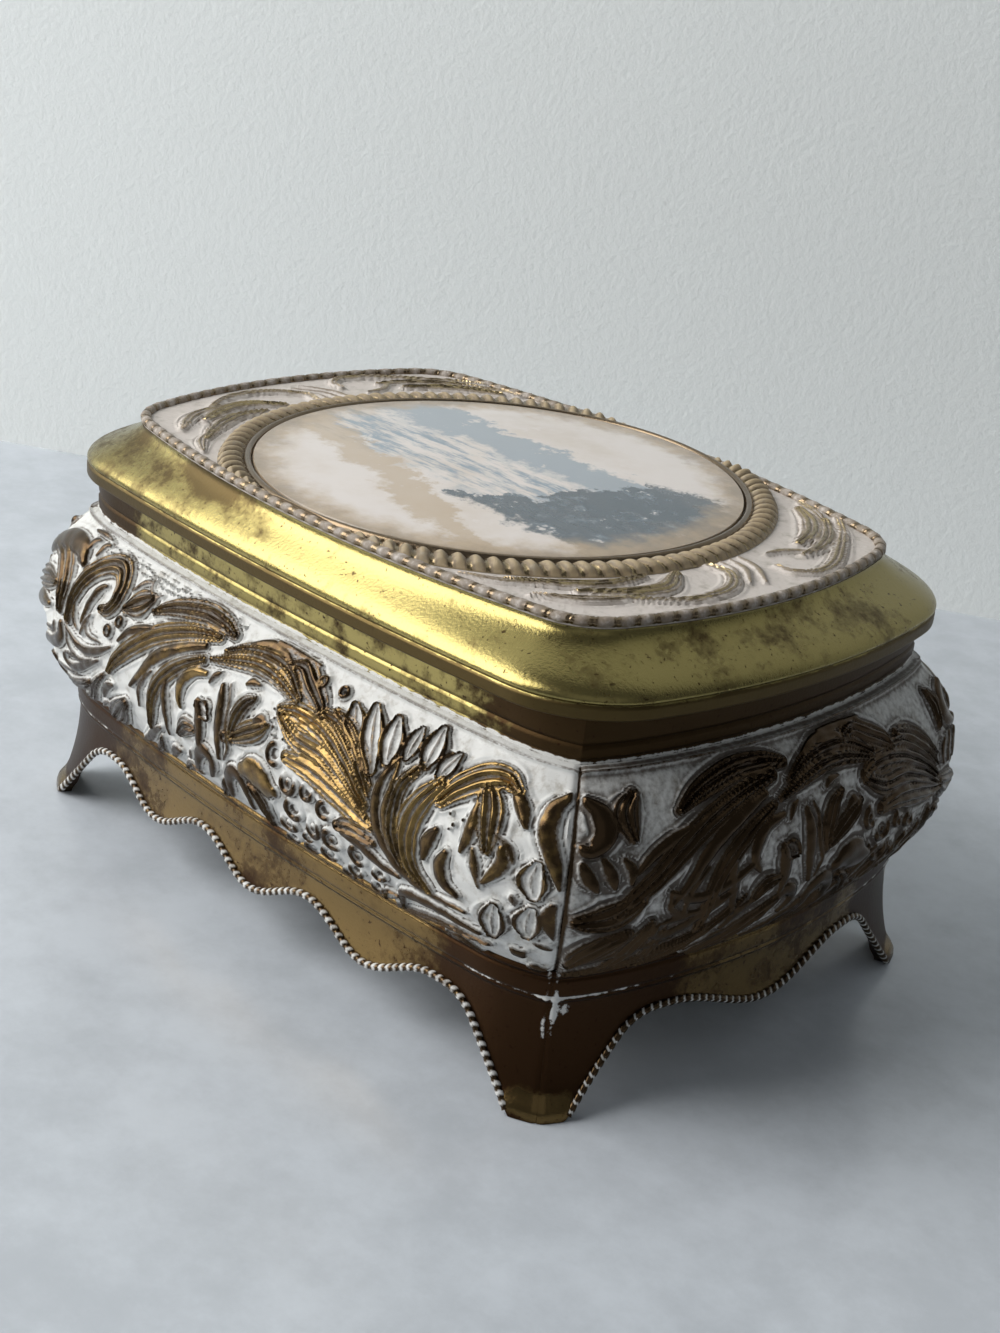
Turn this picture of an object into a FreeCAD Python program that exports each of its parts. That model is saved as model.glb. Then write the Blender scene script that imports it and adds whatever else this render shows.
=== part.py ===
"""Footed trinket box of pressed sheet metal: bombe body, coved lid with a round picture, hinge at the back.

Frame: origin on the table under the middle of the box, +Z up, front towards -Y, length along X, millimetres.
Plans of the lid and the floor are bowed rectangles with round corners; the four walls meet in creased seams.
"""

import FreeCAD, Part
import math
import os
import re

import Sketcher

DIMENSIONS = {
    # Plan of the neck band, from which the whole body grows outwards
    "neck_half_length": 65.8,
    "neck_half_width": 43.3,
    "long_bow": 2.2,
    "short_bow": 3.2,
    "corner_radius": 15.0,
    "crease_out": 1.5,
    "mitre_run": 8.0,
    "seam_angle": 45.0,
    "wall": 0.8,
    # Upright profile of a pressed panel: levels above the table, and how far it stands out from the neck
    "neck_height": 10.1,
    "ledge_out": 0.6,
    "bulge_out": 8.9,
    "bulge_drop": 2.2,
    "waist_out": 3.0,
    "waist_level": 23.2,
    "band_bottom": 17.6,
    "band_step": 0.5,
    "foot_out": 6.3,
    "toe_thickness": 2.4,
    "toe_top": 7.0,
    # Scalloped lower edge of the skirt
    "skirt_margin": 3.4,
    "scallop_depth": 4.6,
    "scallop_flat": 2.0,
    "arch_radius": 9.0,
    "arch_span": 16.5,
    "long_foot": 5.7,
    "short_foot": 4.7,
    "under_floor": 2.0,
    # Embossed leaves of the relief zone
    "relief_height": 0.9,
    "relief_root": 0.4,
    "relief_margin": 1.0,
    # Straps inside the corner seams
    "clip_radius": 5.0,
    "clip_thickness": 0.6,
    "clip_rise": 1.8,
    "clip_drop": 1.0,
    "clip_sweep": 50.0,
    "seat_gap": 0.1,
    # Floor and linings
    "floor_gap": 0.2,
    "floor_thickness": 0.8,
    "floor_drop": 1.6,
    "lining_gap": 0.5,
    "lining_thickness": 1.5,
    "lining_drop": 2.3,
    "lining_round": 0.5,
    "soft_gap": 0.3,
    "pad_thickness": 3.0,
    "pad_edge": 1.0,
    "pad_tuck": 0.6,
    "pad_crown": 2.6,
    # Lid: the lip overhangs the neck and covers its rim, the cove draws in to the top plate
    "lip_overhang": 3.2,
    "lip_height": 2.7,
    "rim_cover": 0.1,
    "cove_height": 6.8,
    "cove_top": 71.0,
    "top_half_length": 60.4,
    "top_half_width": 41.5,
    "top_long_bow": 5.0,
    "top_short_bow": 3.9,
    "top_corner_radius": 11.5,
    "cove_upper_share": 0.3,
    "cove_upper_drop": 0.363,
    "cove_lower_share": 0.7,
    "cove_lower_drop": 0.637,
    "flange_width": 6.0,
    "plate_thickness": 0.8,
    # Round picture and its rope ring
    "picture_inset": 1.5,
    "picture_rim": 0.7,
    "picture_crown": 0.9,
    "card_inset": 0.6,
    "card_thickness": 0.3,
    "ring_gap": 0.15,
    "ring_width": 5.4,
    "ring_height": 1.5,
    "ring_edge": 0.5,
    "ring_margin": 0.25,
    # Lining of the lid
    "board_inset": 5.0,
    "board_thickness": 1.2,
    "lid_pad_inset": 6.5,
    "lid_pad_thickness": 2.6,
    # Hinge between the neck band and the lip
    "hinge_drop": 1.9,
    "hinge_length": 24.0,
    "knuckle_gap": 0.15,
    "leaf_thickness": 0.5,
    "base_leaf_margin": 0.5,
    "lid_leaf_margin": 0.3,
    "base_leaf_gap": 0.1,
    "lid_leaf_gap": 0.45,
    "pin_radius": 0.5,
    "pin_fit": 0.06,
    # Rivets of the hinge
    "rivet_spread": 8.0,
    "rivet_radius": 0.6,
    "rivet_fit": 0.06,
    "rivet_head_radius": 1.0,
    "rivet_head": 0.35,
}
KNUCKLES = 5

# Levels, worked down from the lid's top edge and up from the table
LIP_TOP = "(cove_top - cove_height)"
LIP_LOW = f"({LIP_TOP} - lip_height)"
RIM = f"({LIP_TOP} + rim_cover)"
LEDGE = f"({RIM} - neck_height)"
BULGE = f"((waist_level + {LEDGE}) / 2 - bulge_drop)"
FLOOR = "(waist_level - floor_drop)"
SCALLOP_TOP = "(band_bottom - skirt_margin)"

doc = FreeCAD.newDocument("trinket_box")
sheet = doc.addObject("Spreadsheet::Sheet", "dims")
NODES = []


def fill_sheet():
    """Write each driving dimension to a cell of its own, with its name as the cell's alias."""
    for row, (name, number) in enumerate(DIMENSIONS.items(), start=1):
        sheet.set(f"A{row}", name)
        sheet.set(f"B{row}", str(number))
        sheet.setAlias(f"B{row}", name)
    doc.recompute()


def bound(text):
    """The expression with every dimension's name pointing at its cell."""
    return re.sub(r"[a-z_]+", lambda word: f"dims.{word[0]}" if word[0] in DIMENSIONS else word[0], text)


def value(text):
    """What an expression over the dimensions comes to now."""
    return float(sheet.evalExpression(bound(text)))


def node(feature, label):
    """Keep a finished sub-part under the name of its file."""
    feature.Label = label
    NODES.append(feature)
    return feature


# Sketch helpers


def sketch_on(body, role, height=None):
    """A sketch on one of the body's own origin planes, lifted by an expression where one is given."""
    sketch = body.newObject("Sketcher::SketchObject", f"{body.Name}_sketch")
    plane = next(feature for feature in body.Origin.OriginFeatures if feature.Role == role)
    sketch.AttachmentSupport = [(plane, "")]
    sketch.MapMode = "FlatFace"
    if height is not None:
        sketch.setExpression("AttachmentOffset.Base.z", bound(height))
    return sketch


def tie(sketch, kind, *where, to):
    """A dimension of the sketch bound to an expression."""
    index = sketch.addConstraint(Sketcher.Constraint(kind, *where, value(to)))
    sketch.setExpression(f"Constraints[{index}]", bound(to))


def tie_point(sketch, edge, end, across, up):
    """Place one end of an edge by its two coordinates, on an axis where a coordinate is 0."""
    for kind, axis, text in (("DistanceX", -2, across), ("DistanceY", -1, up)):
        if text == "0":
            sketch.addConstraint(Sketcher.Constraint("PointOnObject", edge, end, axis))
        else:
            tie(sketch, kind, -1, 1, edge, end, to=text)


def arc_between(start, end, radius, turn):
    """The arc under half a circle from start to end, turning left (1) or right (-1)."""
    chord = end - start
    rise = math.sqrt(radius ** 2 - chord.Length ** 2 / 4)
    left = FreeCAD.Vector(-chord.y, chord.x, 0).normalize()
    centre = start + chord * 0.5 + left * rise * turn
    first, last = (start, end) if turn > 0 else (end, start)
    angles = [math.atan2(point.y - centre.y, point.x - centre.x) for point in (first, last)]
    return Part.ArcOfCircle(Part.Circle(centre, FreeCAD.Vector(0, 0, 1), radius), *angles)


def chain(sketch, points, closed=True):
    """Draw a row of lines and arcs through points.

    A point is (across, up), or (across, up, radius, turn) where an arc follows it.
    """
    places = [FreeCAD.Vector(value(point[0]), value(point[1]), 0) for point in points]
    count = len(points) if closed else len(points) - 1
    ends = []
    for step in range(count):
        point, here, there = points[step], places[step], places[(step + 1) % len(points)]
        if len(point) == 2:
            edge = sketch.addGeometry(Part.LineSegment(here, there), False)
            ends.append((edge, 1, 2))
            continue
        radius, turn = point[2:]
        edge = sketch.addGeometry(arc_between(here, there, value(radius), turn), False)
        tie(sketch, "Radius", edge, to=radius)
        ends.append((edge, 1, 2) if turn > 0 else (edge, 2, 1))
    for step, (edge, first, last) in enumerate(ends):
        tie_point(sketch, edge, first, *points[step][:2])
        if closed or step + 1 < count:
            following = ends[(step + 1) % count]
            sketch.addConstraint(Sketcher.Constraint("Coincident", edge, last, following[0], following[1]))
        else:
            tie_point(sketch, edge, last, *points[-1][:2])
    return sketch


def circle(sketch, radius, across="0", up="0"):
    """A full circle placed by its centre."""
    centre = FreeCAD.Vector(value(across), value(up), 0)
    edge = sketch.addGeometry(Part.Circle(centre, FreeCAD.Vector(0, 0, 1), value(radius)), False)
    tie(sketch, "Radius", edge, to=radius)
    tie_point(sketch, edge, 3, across, up)
    return sketch


def rectangle(sketch, left, right, low, high):
    """A closed rectangle between four expressions."""
    return chain(sketch, [(left, low), (right, low), (right, high), (left, high)])


# Features


def new_body(name):
    """An empty body for one sub-part."""
    return doc.addObject("PartDesign::Body", name)


def feature_on(body, kind, sketch, **settings):
    """A feature made from a sketch."""
    feature = body.newObject(f"PartDesign::{kind}", f"{body.Name}_{kind}")
    feature.Profile = sketch
    for name, setting in settings.items():
        setattr(feature, name, setting)
    return feature


def pad(body, sketch, length, **settings):
    """Raise a sketch by a bound length."""
    feature = feature_on(body, "Pad", sketch, **settings)
    feature.setExpression("Length", bound(length))
    return feature


def pocket_through(body, sketch):
    """Cut a sketch right through the body, both ways from its plane."""
    return feature_on(body, "Pocket", sketch, Type="ThroughAll", Midplane=True)


def loft(body, kind, sketches, ruled):
    """Join sections from the first to the last."""
    return feature_on(body, kind, sketches[0], Sections=sketches[1:], Ruled=ruled)


def revolve(body, sketch):
    """Turn a sketch of the XZ plane once round the Z axis."""
    return feature_on(body, "Revolution", sketch, ReferenceAxis=(sketch, ["V_Axis"]), Angle=360.0)


# Plan outlines


def sagitta_radius(rise, run):
    """Radius of an arc that starts straight on and bends aside by rise over the length of run."""
    return f"((({run})^2 + ({rise})^2) / (2 * ({rise})))"


class Plan:
    """A bowed rectangle: half sizes, the bows of its long and short sides and its corner radius."""

    def __init__(self, length, width, long_bow, short_bow, radius):
        self.long_bow, self.short_bow, self.radius = long_bow, short_bow, radius
        self.corner_x = f"({length} - ({short_bow}) - ({radius}))"
        self.corner_y = f"({width} - ({long_bow}) - ({radius}))"
        self.long_core = sagitta_radius(long_bow, self.corner_x)
        self.short_core = sagitta_radius(short_bow, self.corner_y)

    def joints(self, grow):
        """Where a long side and a short side run into the corner at +X +Y of the grown outline."""
        radius = f"({self.radius} + ({grow}))"
        long_x = f"({self.corner_x} * (1 + {radius} / {self.long_core}))"
        long_y = f"({self.corner_y} + {radius} * (1 - ({self.long_bow}) / {self.long_core}))"
        short_x = f"({self.corner_x} + {radius} * (1 - ({self.short_bow}) / {self.short_core}))"
        short_y = f"({self.corner_y} * (1 + {radius} / {self.short_core}))"
        return radius, long_x, long_y, short_x, short_y

    def draw(self, sketch, grow="0"):
        """The closed outline as eight arcs."""
        radius, long_x, long_y, short_x, short_y = self.joints(grow)
        long_side = f"({self.long_core} + {radius})"
        short_side = f"({self.short_core} + {radius})"
        return chain(sketch, [
            (long_x, f"-{long_y}", radius, 1),
            (short_x, f"-{short_y}", short_side, 1),
            (short_x, short_y, radius, 1),
            (long_x, long_y, long_side, 1),
            (f"-{long_x}", long_y, radius, 1),
            (f"-{short_x}", short_y, short_side, 1),
            (f"-{short_x}", f"-{short_y}", radius, 1),
            (f"-{long_x}", f"-{long_y}", long_side, 1),
        ])


NECK = Plan("neck_half_length", "neck_half_width", "long_bow", "short_bow", "corner_radius")
TOP = Plan("top_half_length", "top_half_width", "top_long_bow", "top_short_bow", "top_corner_radius")


class Side:
    """One wall of the box seen as if it faced -Y: its plan, its part of each corner and its turn about Z.

    The plan is a bowed side that runs into a corner arc. The arc ends on the seam's plane, a little outside
    the round corner, so that two walls meet in a crease. Its radius follows from its first tangent and its end.
    """

    def __init__(self, name, is_long, turn):
        self.name, self.turn, self.is_long = name, turn, is_long
        if is_long:
            self.depth, self.bow = "neck_half_width", "long_bow"
            self.corner_x, self.corner_y, self.core = NECK.corner_x, NECK.corner_y, NECK.long_core
            self.seam, self.leg, self.lobes = "seam_angle", "(neck_half_length - long_foot)", 3
        else:
            self.depth, self.bow = "neck_half_length", "short_bow"
            self.corner_x, self.corner_y, self.core = NECK.corner_y, NECK.corner_x, NECK.short_core
            self.seam, self.leg, self.lobes = "(90 - seam_angle)", "(neck_half_width - short_foot)", 1
        self.lean_sin = f"({self.corner_x} / {self.core})"
        self.lean_cos = f"(1 - {self.bow} / {self.core})"
        self.reach = "(corner_radius + crease_out)"
        self.turn_cos = f"(sin({self.seam}) * {self.lean_sin} + cos({self.seam}) * {self.lean_cos})"
        self.turn_sin = f"(sin({self.seam}) * {self.lean_cos} - cos({self.seam}) * {self.lean_sin})"
        chord = f"(corner_radius^2 + {self.reach}^2 - 2 * corner_radius * {self.reach} * {self.turn_cos})"
        self.corner_arc = f"({chord} / (2 * (corner_radius - {self.reach} * {self.turn_cos})))"
        self.fold = f"(2 * {self.reach} * {self.turn_sin} / {chord})"

    def half_path(self, body):
        """The neck's outline from the middle of the side to the seam and straight on past it."""
        start = (f"(corner_radius * {self.lean_sin})", f"(corner_radius * {self.lean_cos})")
        seam = (f"({self.reach} * sin({self.seam}))", f"({self.reach} * cos({self.seam}))")
        past_x = f"({seam[0]} + mitre_run * ({self.fold} * ({seam[0]} - {start[0]}) - {self.lean_cos}))"
        past_y = f"({seam[1]} + mitre_run * ({self.fold} * ({seam[1]} - {start[1]}) + {self.lean_sin}))"
        row = (start, seam, (past_x, past_y))
        places = [(f"({self.corner_x} + {x})", f"-({self.corner_y} + {y})") for x, y in row]
        return chain(sketch_on(body, "XY_Plane"), [
            ("0", f"-{self.depth}", f"({self.core} + corner_radius)", 1),
            (*places[0], self.corner_arc, 1),
            places[1],
            places[2],
        ], closed=False)

    def sweep(self, body, profile):
        """Sweep an upright profile of (out from the neck, height, ...) along the half path and mirror it."""
        section = [(f"-({self.depth} + ({point[0]}))", *point[1:]) for point in profile]
        sketch = chain(sketch_on(body, "YZ_Plane"), section)
        path = self.half_path(body)
        doc.recompute()
        sweep = feature_on(body, "AdditivePipe", sketch, Spine=(path, ["Edge1", "Edge2", "Edge3"]))
        mirror = body.newObject("PartDesign::Mirrored", f"{body.Name}_mirror")
        mirror.Originals = [sweep]
        plane = next(feature for feature in body.Origin.OriginFeatures if feature.Role == "YZ_Plane")
        mirror.MirrorPlane = (plane, [""])
        body.Tip = mirror
        doc.recompute()

    def wall(self, body, profile):
        """Sweep a wall and cut it to the planes of its two seams."""
        self.sweep(body, profile)
        beyond = sketch_on(body, "XY_Plane")
        for hand in ("", "-"):
            corners = []
            for along, across in (("0", "0"), ("2", "0"), ("2", "2"), ("0", "2")):
                x = f"{self.reach} * ({along} * sin({self.seam}) + {across} * cos({self.seam}))"
                y = f"{self.reach} * ({along} * cos({self.seam}) - {across} * sin({self.seam}))"
                corners.append((f"{hand}({self.corner_x} + {x})", f"-({self.corner_y} + {y})"))
            chain(beyond, corners)
        pocket_through(body, beyond)

    def scallops(self, body):
        """Cut the skirt to its wavy edge, the arches and the slanting sides of the two half feet."""
        arch_start = f"({self.leg} - arch_span)"
        outer = f"({arch_start} - scallop_flat)"
        quarter = f"({outer} / {2 * self.lobes})"
        swell = sagitta_radius("scallop_depth / 2", quarter)
        middle = f"({SCALLOP_TOP} - scallop_depth / 2)"
        centre_up = f"({SCALLOP_TOP} - arch_radius)"
        span = f"(arch_span^2 + {centre_up}^2)"
        straight = f"sqrt({span} - arch_radius^2)"
        bend_across = f"(arch_radius * arch_span + {straight} * {centre_up})"
        bend_rise = f"({straight} * arch_span - arch_radius * {centre_up})"
        bend_x = f"({arch_start} + arch_radius * {bend_across} / {span})"
        bend_up = f"({centre_up} + arch_radius * {bend_rise} / {span})"
        points = [(f"-{self.leg}", "-under_floor"), (f"-{self.leg}", "0")]
        points += [(f"-{bend_x}", bend_up, "arch_radius", -1)]
        points += [(f"-{arch_start}", SCALLOP_TOP), (f"-{outer}", SCALLOP_TOP, swell, -1)]
        for step in range(1 - 2 * self.lobes, 2 * self.lobes, 4):
            points.append((f"({step} * {quarter})", middle, swell, 1))
            points.append((f"({step + 2} * {quarter})", middle, swell, -1))
        points += [(outer, SCALLOP_TOP), (arch_start, SCALLOP_TOP, "arch_radius", -1)]
        points += [(bend_x, bend_up), (self.leg, "0"), (self.leg, "-under_floor")]
        pocket_through(body, chain(sketch_on(body, "XZ_Plane"), points))

    def turned(self, body):
        """Turn the finished wall to its own side of the box."""
        about_z = FreeCAD.Rotation(FreeCAD.Vector(0, 0, 1), self.turn)
        body.Placement = FreeCAD.Placement(FreeCAD.Vector(), about_z)


SIDES = [
    Side("front", True, 0),
    Side("right", False, 90),
    Side("back", True, 180),
    Side("left", False, 270),
]


# Pressed panels of the base


def panel_profile():
    """Neck, ledge, swelling belly, moulding band and flared skirt, outside downwards and inside upwards."""
    upper = sagitta_radius("bulge_out - ledge_out", f"{LEDGE} - {BULGE}")
    lower = sagitta_radius("bulge_out - waist_out", f"{BULGE} - waist_level")
    skirt_out = "(waist_out - band_step)"
    flare = sagitta_radius(f"foot_out - {skirt_out}", "band_bottom")
    inside = f"({skirt_out} - wall)"
    inside_waist = f"{BULGE} - sqrt(({lower} - wall)^2 - ({inside} - bulge_out + {lower})^2)"
    inside_neck = f"{BULGE} + sqrt(({upper} - wall)^2 - ({upper} - wall - bulge_out)^2)"
    return [
        ("0", RIM),
        ("0", LEDGE),
        ("ledge_out", LEDGE, upper, 1),
        ("bulge_out", BULGE, lower, 1),
        ("waist_out", "waist_level"),
        ("waist_out", "band_bottom"),
        (skirt_out, "band_bottom", flare, -1),
        ("foot_out", "0"),
        ("foot_out - toe_thickness", "0"),
        (inside, "toe_top"),
        (inside, inside_waist, f"({lower} - wall)", -1),
        ("bulge_out - wall", BULGE, f"({upper} - wall)", -1),
        ("-wall", inside_neck),
        ("-wall", RIM),
    ]


# Embossed leaves of a long wall and of an end. A leaf is its two tips, its bow to the left of the way from
# the first to the second, and its width. Tips are shares of the way to the corner and of the relief zone's
# height; bow and width are shares of the leaf's length. The leaves stand clear of each other.
LONG_LEAVES = [
    ((-1.00, 0.52), (-0.86, 0.88), 0.16, 0.20),
    ((-0.52, 0.80), (-0.13, 0.90), 0.12, 0.13),
    ((-0.70, 0.40), (-0.17, 0.86), 0.10, 0.10),
    ((-0.45, 0.24), (-0.20, 0.75), 0.16, 0.12),
    ((-0.83, 0.05), (-0.60, 0.28), 0.05, 0.25),
    ((-0.12, 0.82), (0.25, 0.82), 0.13, 0.13),
    ((-0.16, 0.74), (0.21, 0.77), 0.08, 0.11),
    ((0.18, 0.91), (0.37, 0.80), 0.08, 0.24),
    ((0.30, 0.52), (0.68, 0.44), 0.03, 0.15),
    ((0.23, 0.70), (0.64, 0.52), 0.03, 0.13),
    ((0.25, 0.74), (0.63, 0.60), 0.10, 0.11),
    ((0.86, 0.30), (0.73, 0.79), 0.24, 0.11),
    ((0.94, 0.28), (0.91, 0.78), 0.27, 0.21),
    ((0.94, 0.71), (1.12, 0.86), 0.16, 0.28),
]
SHORT_LEAVES = [
    ((-0.98, 0.80), (-0.27, 0.90), 0.12, 0.13),
    ((-1.11, 0.50), (-0.36, 0.86), 0.09, 0.12),
    ((-0.85, 0.24), (-0.40, 0.75), 0.16, 0.12),
    ((-0.25, 0.82), (0.42, 0.82), 0.13, 0.13),
    ((-0.33, 0.74), (0.36, 0.77), 0.08, 0.11),
    ((0.40, 0.70), (1.13, 0.52), 0.03, 0.13),
    ((0.45, 0.74), (1.12, 0.60), 0.10, 0.11),
]


def relief_profile():
    """A layer that is rooted in the belly's wall and stands above it by the height of the relief."""
    upper = sagitta_radius("bulge_out - ledge_out", f"{LEDGE} - {BULGE}")
    lower = sagitta_radius("bulge_out - waist_out", f"{BULGE} - waist_level")
    top, foot = f"({LEDGE} - relief_margin)", "(waist_level + relief_margin)"

    def out_at(level, radius, grow):
        """How far the belly's curve, grown by an offset, stands out from the neck at a level."""
        return f"(bulge_out - {radius} + sqrt(({radius} + {grow})^2 - ({level} - {BULGE})^2))"

    return [
        (out_at(top, upper, "relief_height"), top, f"({upper} + relief_height)", 1),
        ("bulge_out + relief_height", BULGE, f"({lower} + relief_height)", 1),
        (out_at(foot, lower, "relief_height"), foot),
        (out_at(foot, lower, "-relief_root"), foot, f"({lower} - relief_root)", -1),
        ("bulge_out - relief_root", BULGE, f"({upper} - relief_root)", -1),
        (out_at(top, upper, "-relief_root"), top),
    ]


def leaf(sketch, side, tips, bow, width):
    """A leaf between two arcs over the same two tips."""
    height = f"({LEDGE} - waist_level)"
    first, last = [(f"({x} * {side.corner_x})", f"(waist_level + {up} * {height})") for x, up in tips]
    (start_x, start_up), (end_x, end_up) = tips
    chord = f"sqrt(({end_x - start_x} * {side.corner_x})^2 + ({end_up - start_up} * {height})^2)"
    edges = []
    for place, rise, turn in ((first, bow + width / 2, -1), (last, bow - width / 2, 1)):
        radius = f"({(0.25 + rise ** 2) / (2 * abs(rise))} * {chord})"
        edges.append((*place, radius, turn if rise > 0 else -turn))
    chain(sketch, edges)


def relief(side):
    """The leaves of one wall: a layer over the belly with everything between the leaves cut away."""
    body = new_body(f"{side.name}_relief")
    body.AllowCompound = True
    side.sweep(body, relief_profile())
    ground = sketch_on(body, "XZ_Plane")
    rectangle(ground, "-2 * neck_half_length", "2 * neck_half_length", "-under_floor", "cove_top")
    for first, last, bow, width in LONG_LEAVES if side.is_long else SHORT_LEAVES:
        leaf(ground, side, (first, last), bow, width)
    pocket_through(body, ground)
    side.turned(body)
    return body


def panel(side):
    """One pressed wall with skirt, half feet and relief; the back one is pierced for the hinge's rivets."""
    body = new_body(f"{side.name}_wall")
    side.wall(body, panel_profile())
    side.scallops(body)
    if side.name == "back":
        holes = sketch_on(body, "XZ_Plane")
        for across in ("rivet_spread", "-rivet_spread"):
            circle(holes, "rivet_radius + rivet_fit", across, BASE_RIVET_LEVEL)
        pocket_through(body, holes)
    side.turned(body)
    embossed = doc.addObject("Part::MultiFuse", f"{side.name}_panel")
    embossed.Shapes = [body, relief(side)]
    node(embossed, f"{side.name}_panel")


def corner_clips():
    """Four curved straps behind the corner seams, each a sector of a tube that lies in the crease."""
    straps = []
    end = SIDES[1]
    away = f"(({end.corner_arc} - corner_radius) * {end.turn_cos})"
    off_line = f"(({end.corner_arc} - corner_radius) * {end.turn_sin})"
    inside = f"({end.corner_arc} - wall - seat_gap - clip_radius)"
    centre = f"(sqrt({inside}^2 - {off_line}^2) - {away})"
    for sign_x, sign_y in ((1, -1), (1, 1), (-1, 1), (-1, -1)):
        shells = []
        for part_name, radius in (("outer", "clip_radius"), ("inner", "clip_radius - clip_thickness")):
            shell = doc.addObject("Part::Cylinder", f"clip_{part_name}")
            shell.setExpression("Radius", bound(radius))
            shell.setExpression("Height", bound("neck_height - clip_rise - clip_drop"))
            shell.setExpression("Angle", bound("clip_sweep"))
            shells.append(shell)
        strap = doc.addObject("Part::Cut", "corner_clip")
        strap.Base, strap.Tool = shells
        middle = f"atan2({sign_y} * cos(seam_angle); {sign_x} * sin(seam_angle))"
        place_x = f"{sign_x} * ({NECK.corner_x} + {centre} * sin(seam_angle))"
        place_y = f"{sign_y} * ({NECK.corner_y} + {centre} * cos(seam_angle))"
        strap.setExpression("Placement.Base.x", bound(place_x))
        strap.setExpression("Placement.Base.y", bound(place_y))
        strap.setExpression("Placement.Base.z", bound(f"{LEDGE} + clip_rise"))
        strap.Placement.Rotation.Axis = FreeCAD.Vector(0, 0, 1)
        strap.setExpression("Placement.Rotation.Angle", bound(f"{middle} - clip_sweep * 1 deg / 2"))
        straps.append(strap)
    group = doc.addObject("Part::Compound", "corner_clips")
    group.Links = straps
    node(group, "corner_clips")


# Floor and linings

LINING_OUT = "(wall + seat_gap + clip_thickness + lining_gap)"
LINING_IN = f"({LINING_OUT} + lining_thickness)"
FLOOR_OUT = "(waist_out - band_step - wall - floor_gap)"


def bottom_plate():
    """Sheet floor that fits inside the moulding."""
    body = new_body("bottom_plate")
    sketch = NECK.draw(sketch_on(body, "XY_Plane", f"{FLOOR} - floor_thickness"), FLOOR_OUT)
    pad(body, sketch, "floor_thickness")
    node(body, "bottom_plate")


def cushion(name, plan, inset, low, high, crown_up):
    """A thin pad: its edge swells from a tucked foot and draws in to a crowned face."""
    body = new_body(name)
    back, face = (low, high) if crown_up else (high, low)
    step = "pad_edge" if crown_up else "-pad_edge"
    sketches = []
    for level, tuck in (
        (back, "pad_tuck"),
        (f"{back} + {step}", "0"),
        (f"{face} - {step}", "pad_tuck"),
        (face, "pad_crown"),
    ):
        sketches.append(plan.draw(sketch_on(body, "XY_Plane", level), f"-({inset} + {tuck})"))
    loft(body, "AdditiveLoft", sketches, ruled=True)
    node(body, name)


def lining(side):
    """A fabric-covered card that stands on the floor against one wall, its top edge rounded."""
    body = new_body(f"{side.name}_lining")
    low = f"{FLOOR} + soft_gap"
    top = f"({RIM} - lining_drop)"
    shoulder = f"{top} - lining_round"
    side.wall(body, [
        (f"-{LINING_OUT}", low),
        (f"-{LINING_IN}", low),
        (f"-{LINING_IN}", shoulder, "lining_round", -1),
        (f"lining_round - {LINING_IN}", top),
        (f"-lining_round - {LINING_OUT}", top, "lining_round", -1),
        (f"-{LINING_OUT}", shoulder),
    ])
    side.turned(body)
    node(body, f"{side.name}_lining")


# Lid

PLATE_TOP = "(cove_top + plate_thickness)"
PICTURE_BACK = f"({PLATE_TOP} + card_thickness)"
PICTURE_RADIUS = "(top_half_width - picture_inset)"


def cove_plan(share):
    """The lid's outline part of the way from the top edge (0) to the lip (1)."""
    pairs = [
        ("top_half_length", "(neck_half_length + lip_overhang)"),
        ("top_half_width", "(neck_half_width + lip_overhang)"),
        ("top_long_bow", "long_bow"),
        ("top_short_bow", "short_bow"),
        ("top_corner_radius", "(corner_radius + lip_overhang)"),
    ]
    return Plan(*(f"({top} + ({share}) * ({lip} - {top}))" for top, lip in pairs))


def cove(body, kind, grow, drop):
    """Loft an ogee from the lip up to the top edge, its outline offset by grow and lowered by drop."""
    sketches = []
    for share, fall in (
        ("1", "1"),
        ("cove_lower_share", "cove_lower_drop"),
        ("cove_upper_share", "cove_upper_drop"),
        ("0", "0"),
    ):
        level = f"cove_top - {fall} * cove_height - {drop}"
        sketches.append(cove_plan(share).draw(sketch_on(body, "XY_Plane", level), grow))
    loft(body, kind, sketches, ruled=False)


def lid_frame():
    """Plain cove with an upright lip, hollow, with a flange inside the top for the plate to lie on."""
    body = new_body("lid_frame")
    pad(body, cove_plan("1").draw(sketch_on(body, "XY_Plane", LIP_LOW)), "lip_height")
    cove(body, "AdditiveLoft", "0", "0")
    inner_lip = cove_plan("1").draw(sketch_on(body, "XY_Plane", LIP_LOW), "-wall")
    pocket = feature_on(body, "Pocket", inner_lip, Reversed=True)
    pocket.setExpression("Length", bound("lip_height - wall"))
    cove(body, "SubtractiveLoft", "-wall", "wall")
    pocket_through(body, TOP.draw(sketch_on(body, "XY_Plane", "cove_top"), "-flange_width"))
    holes = sketch_on(body, "XZ_Plane")
    for across in ("rivet_spread", "-rivet_spread"):
        circle(holes, "rivet_radius + rivet_fit", across, LID_RIVET_LEVEL)
    back_only = feature_on(body, "Pocket", holes, Type="Length", Reversed=False)
    back_only.setExpression("Length", bound("neck_half_width + 2 * lip_overhang"))
    node(body, "lid_frame")


def top_plate():
    """Relief plate of the lid, on the flange."""
    body = new_body("top_plate")
    pad(body, TOP.draw(sketch_on(body, "XY_Plane", "cove_top")), "plate_thickness")
    node(body, "top_plate")


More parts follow.
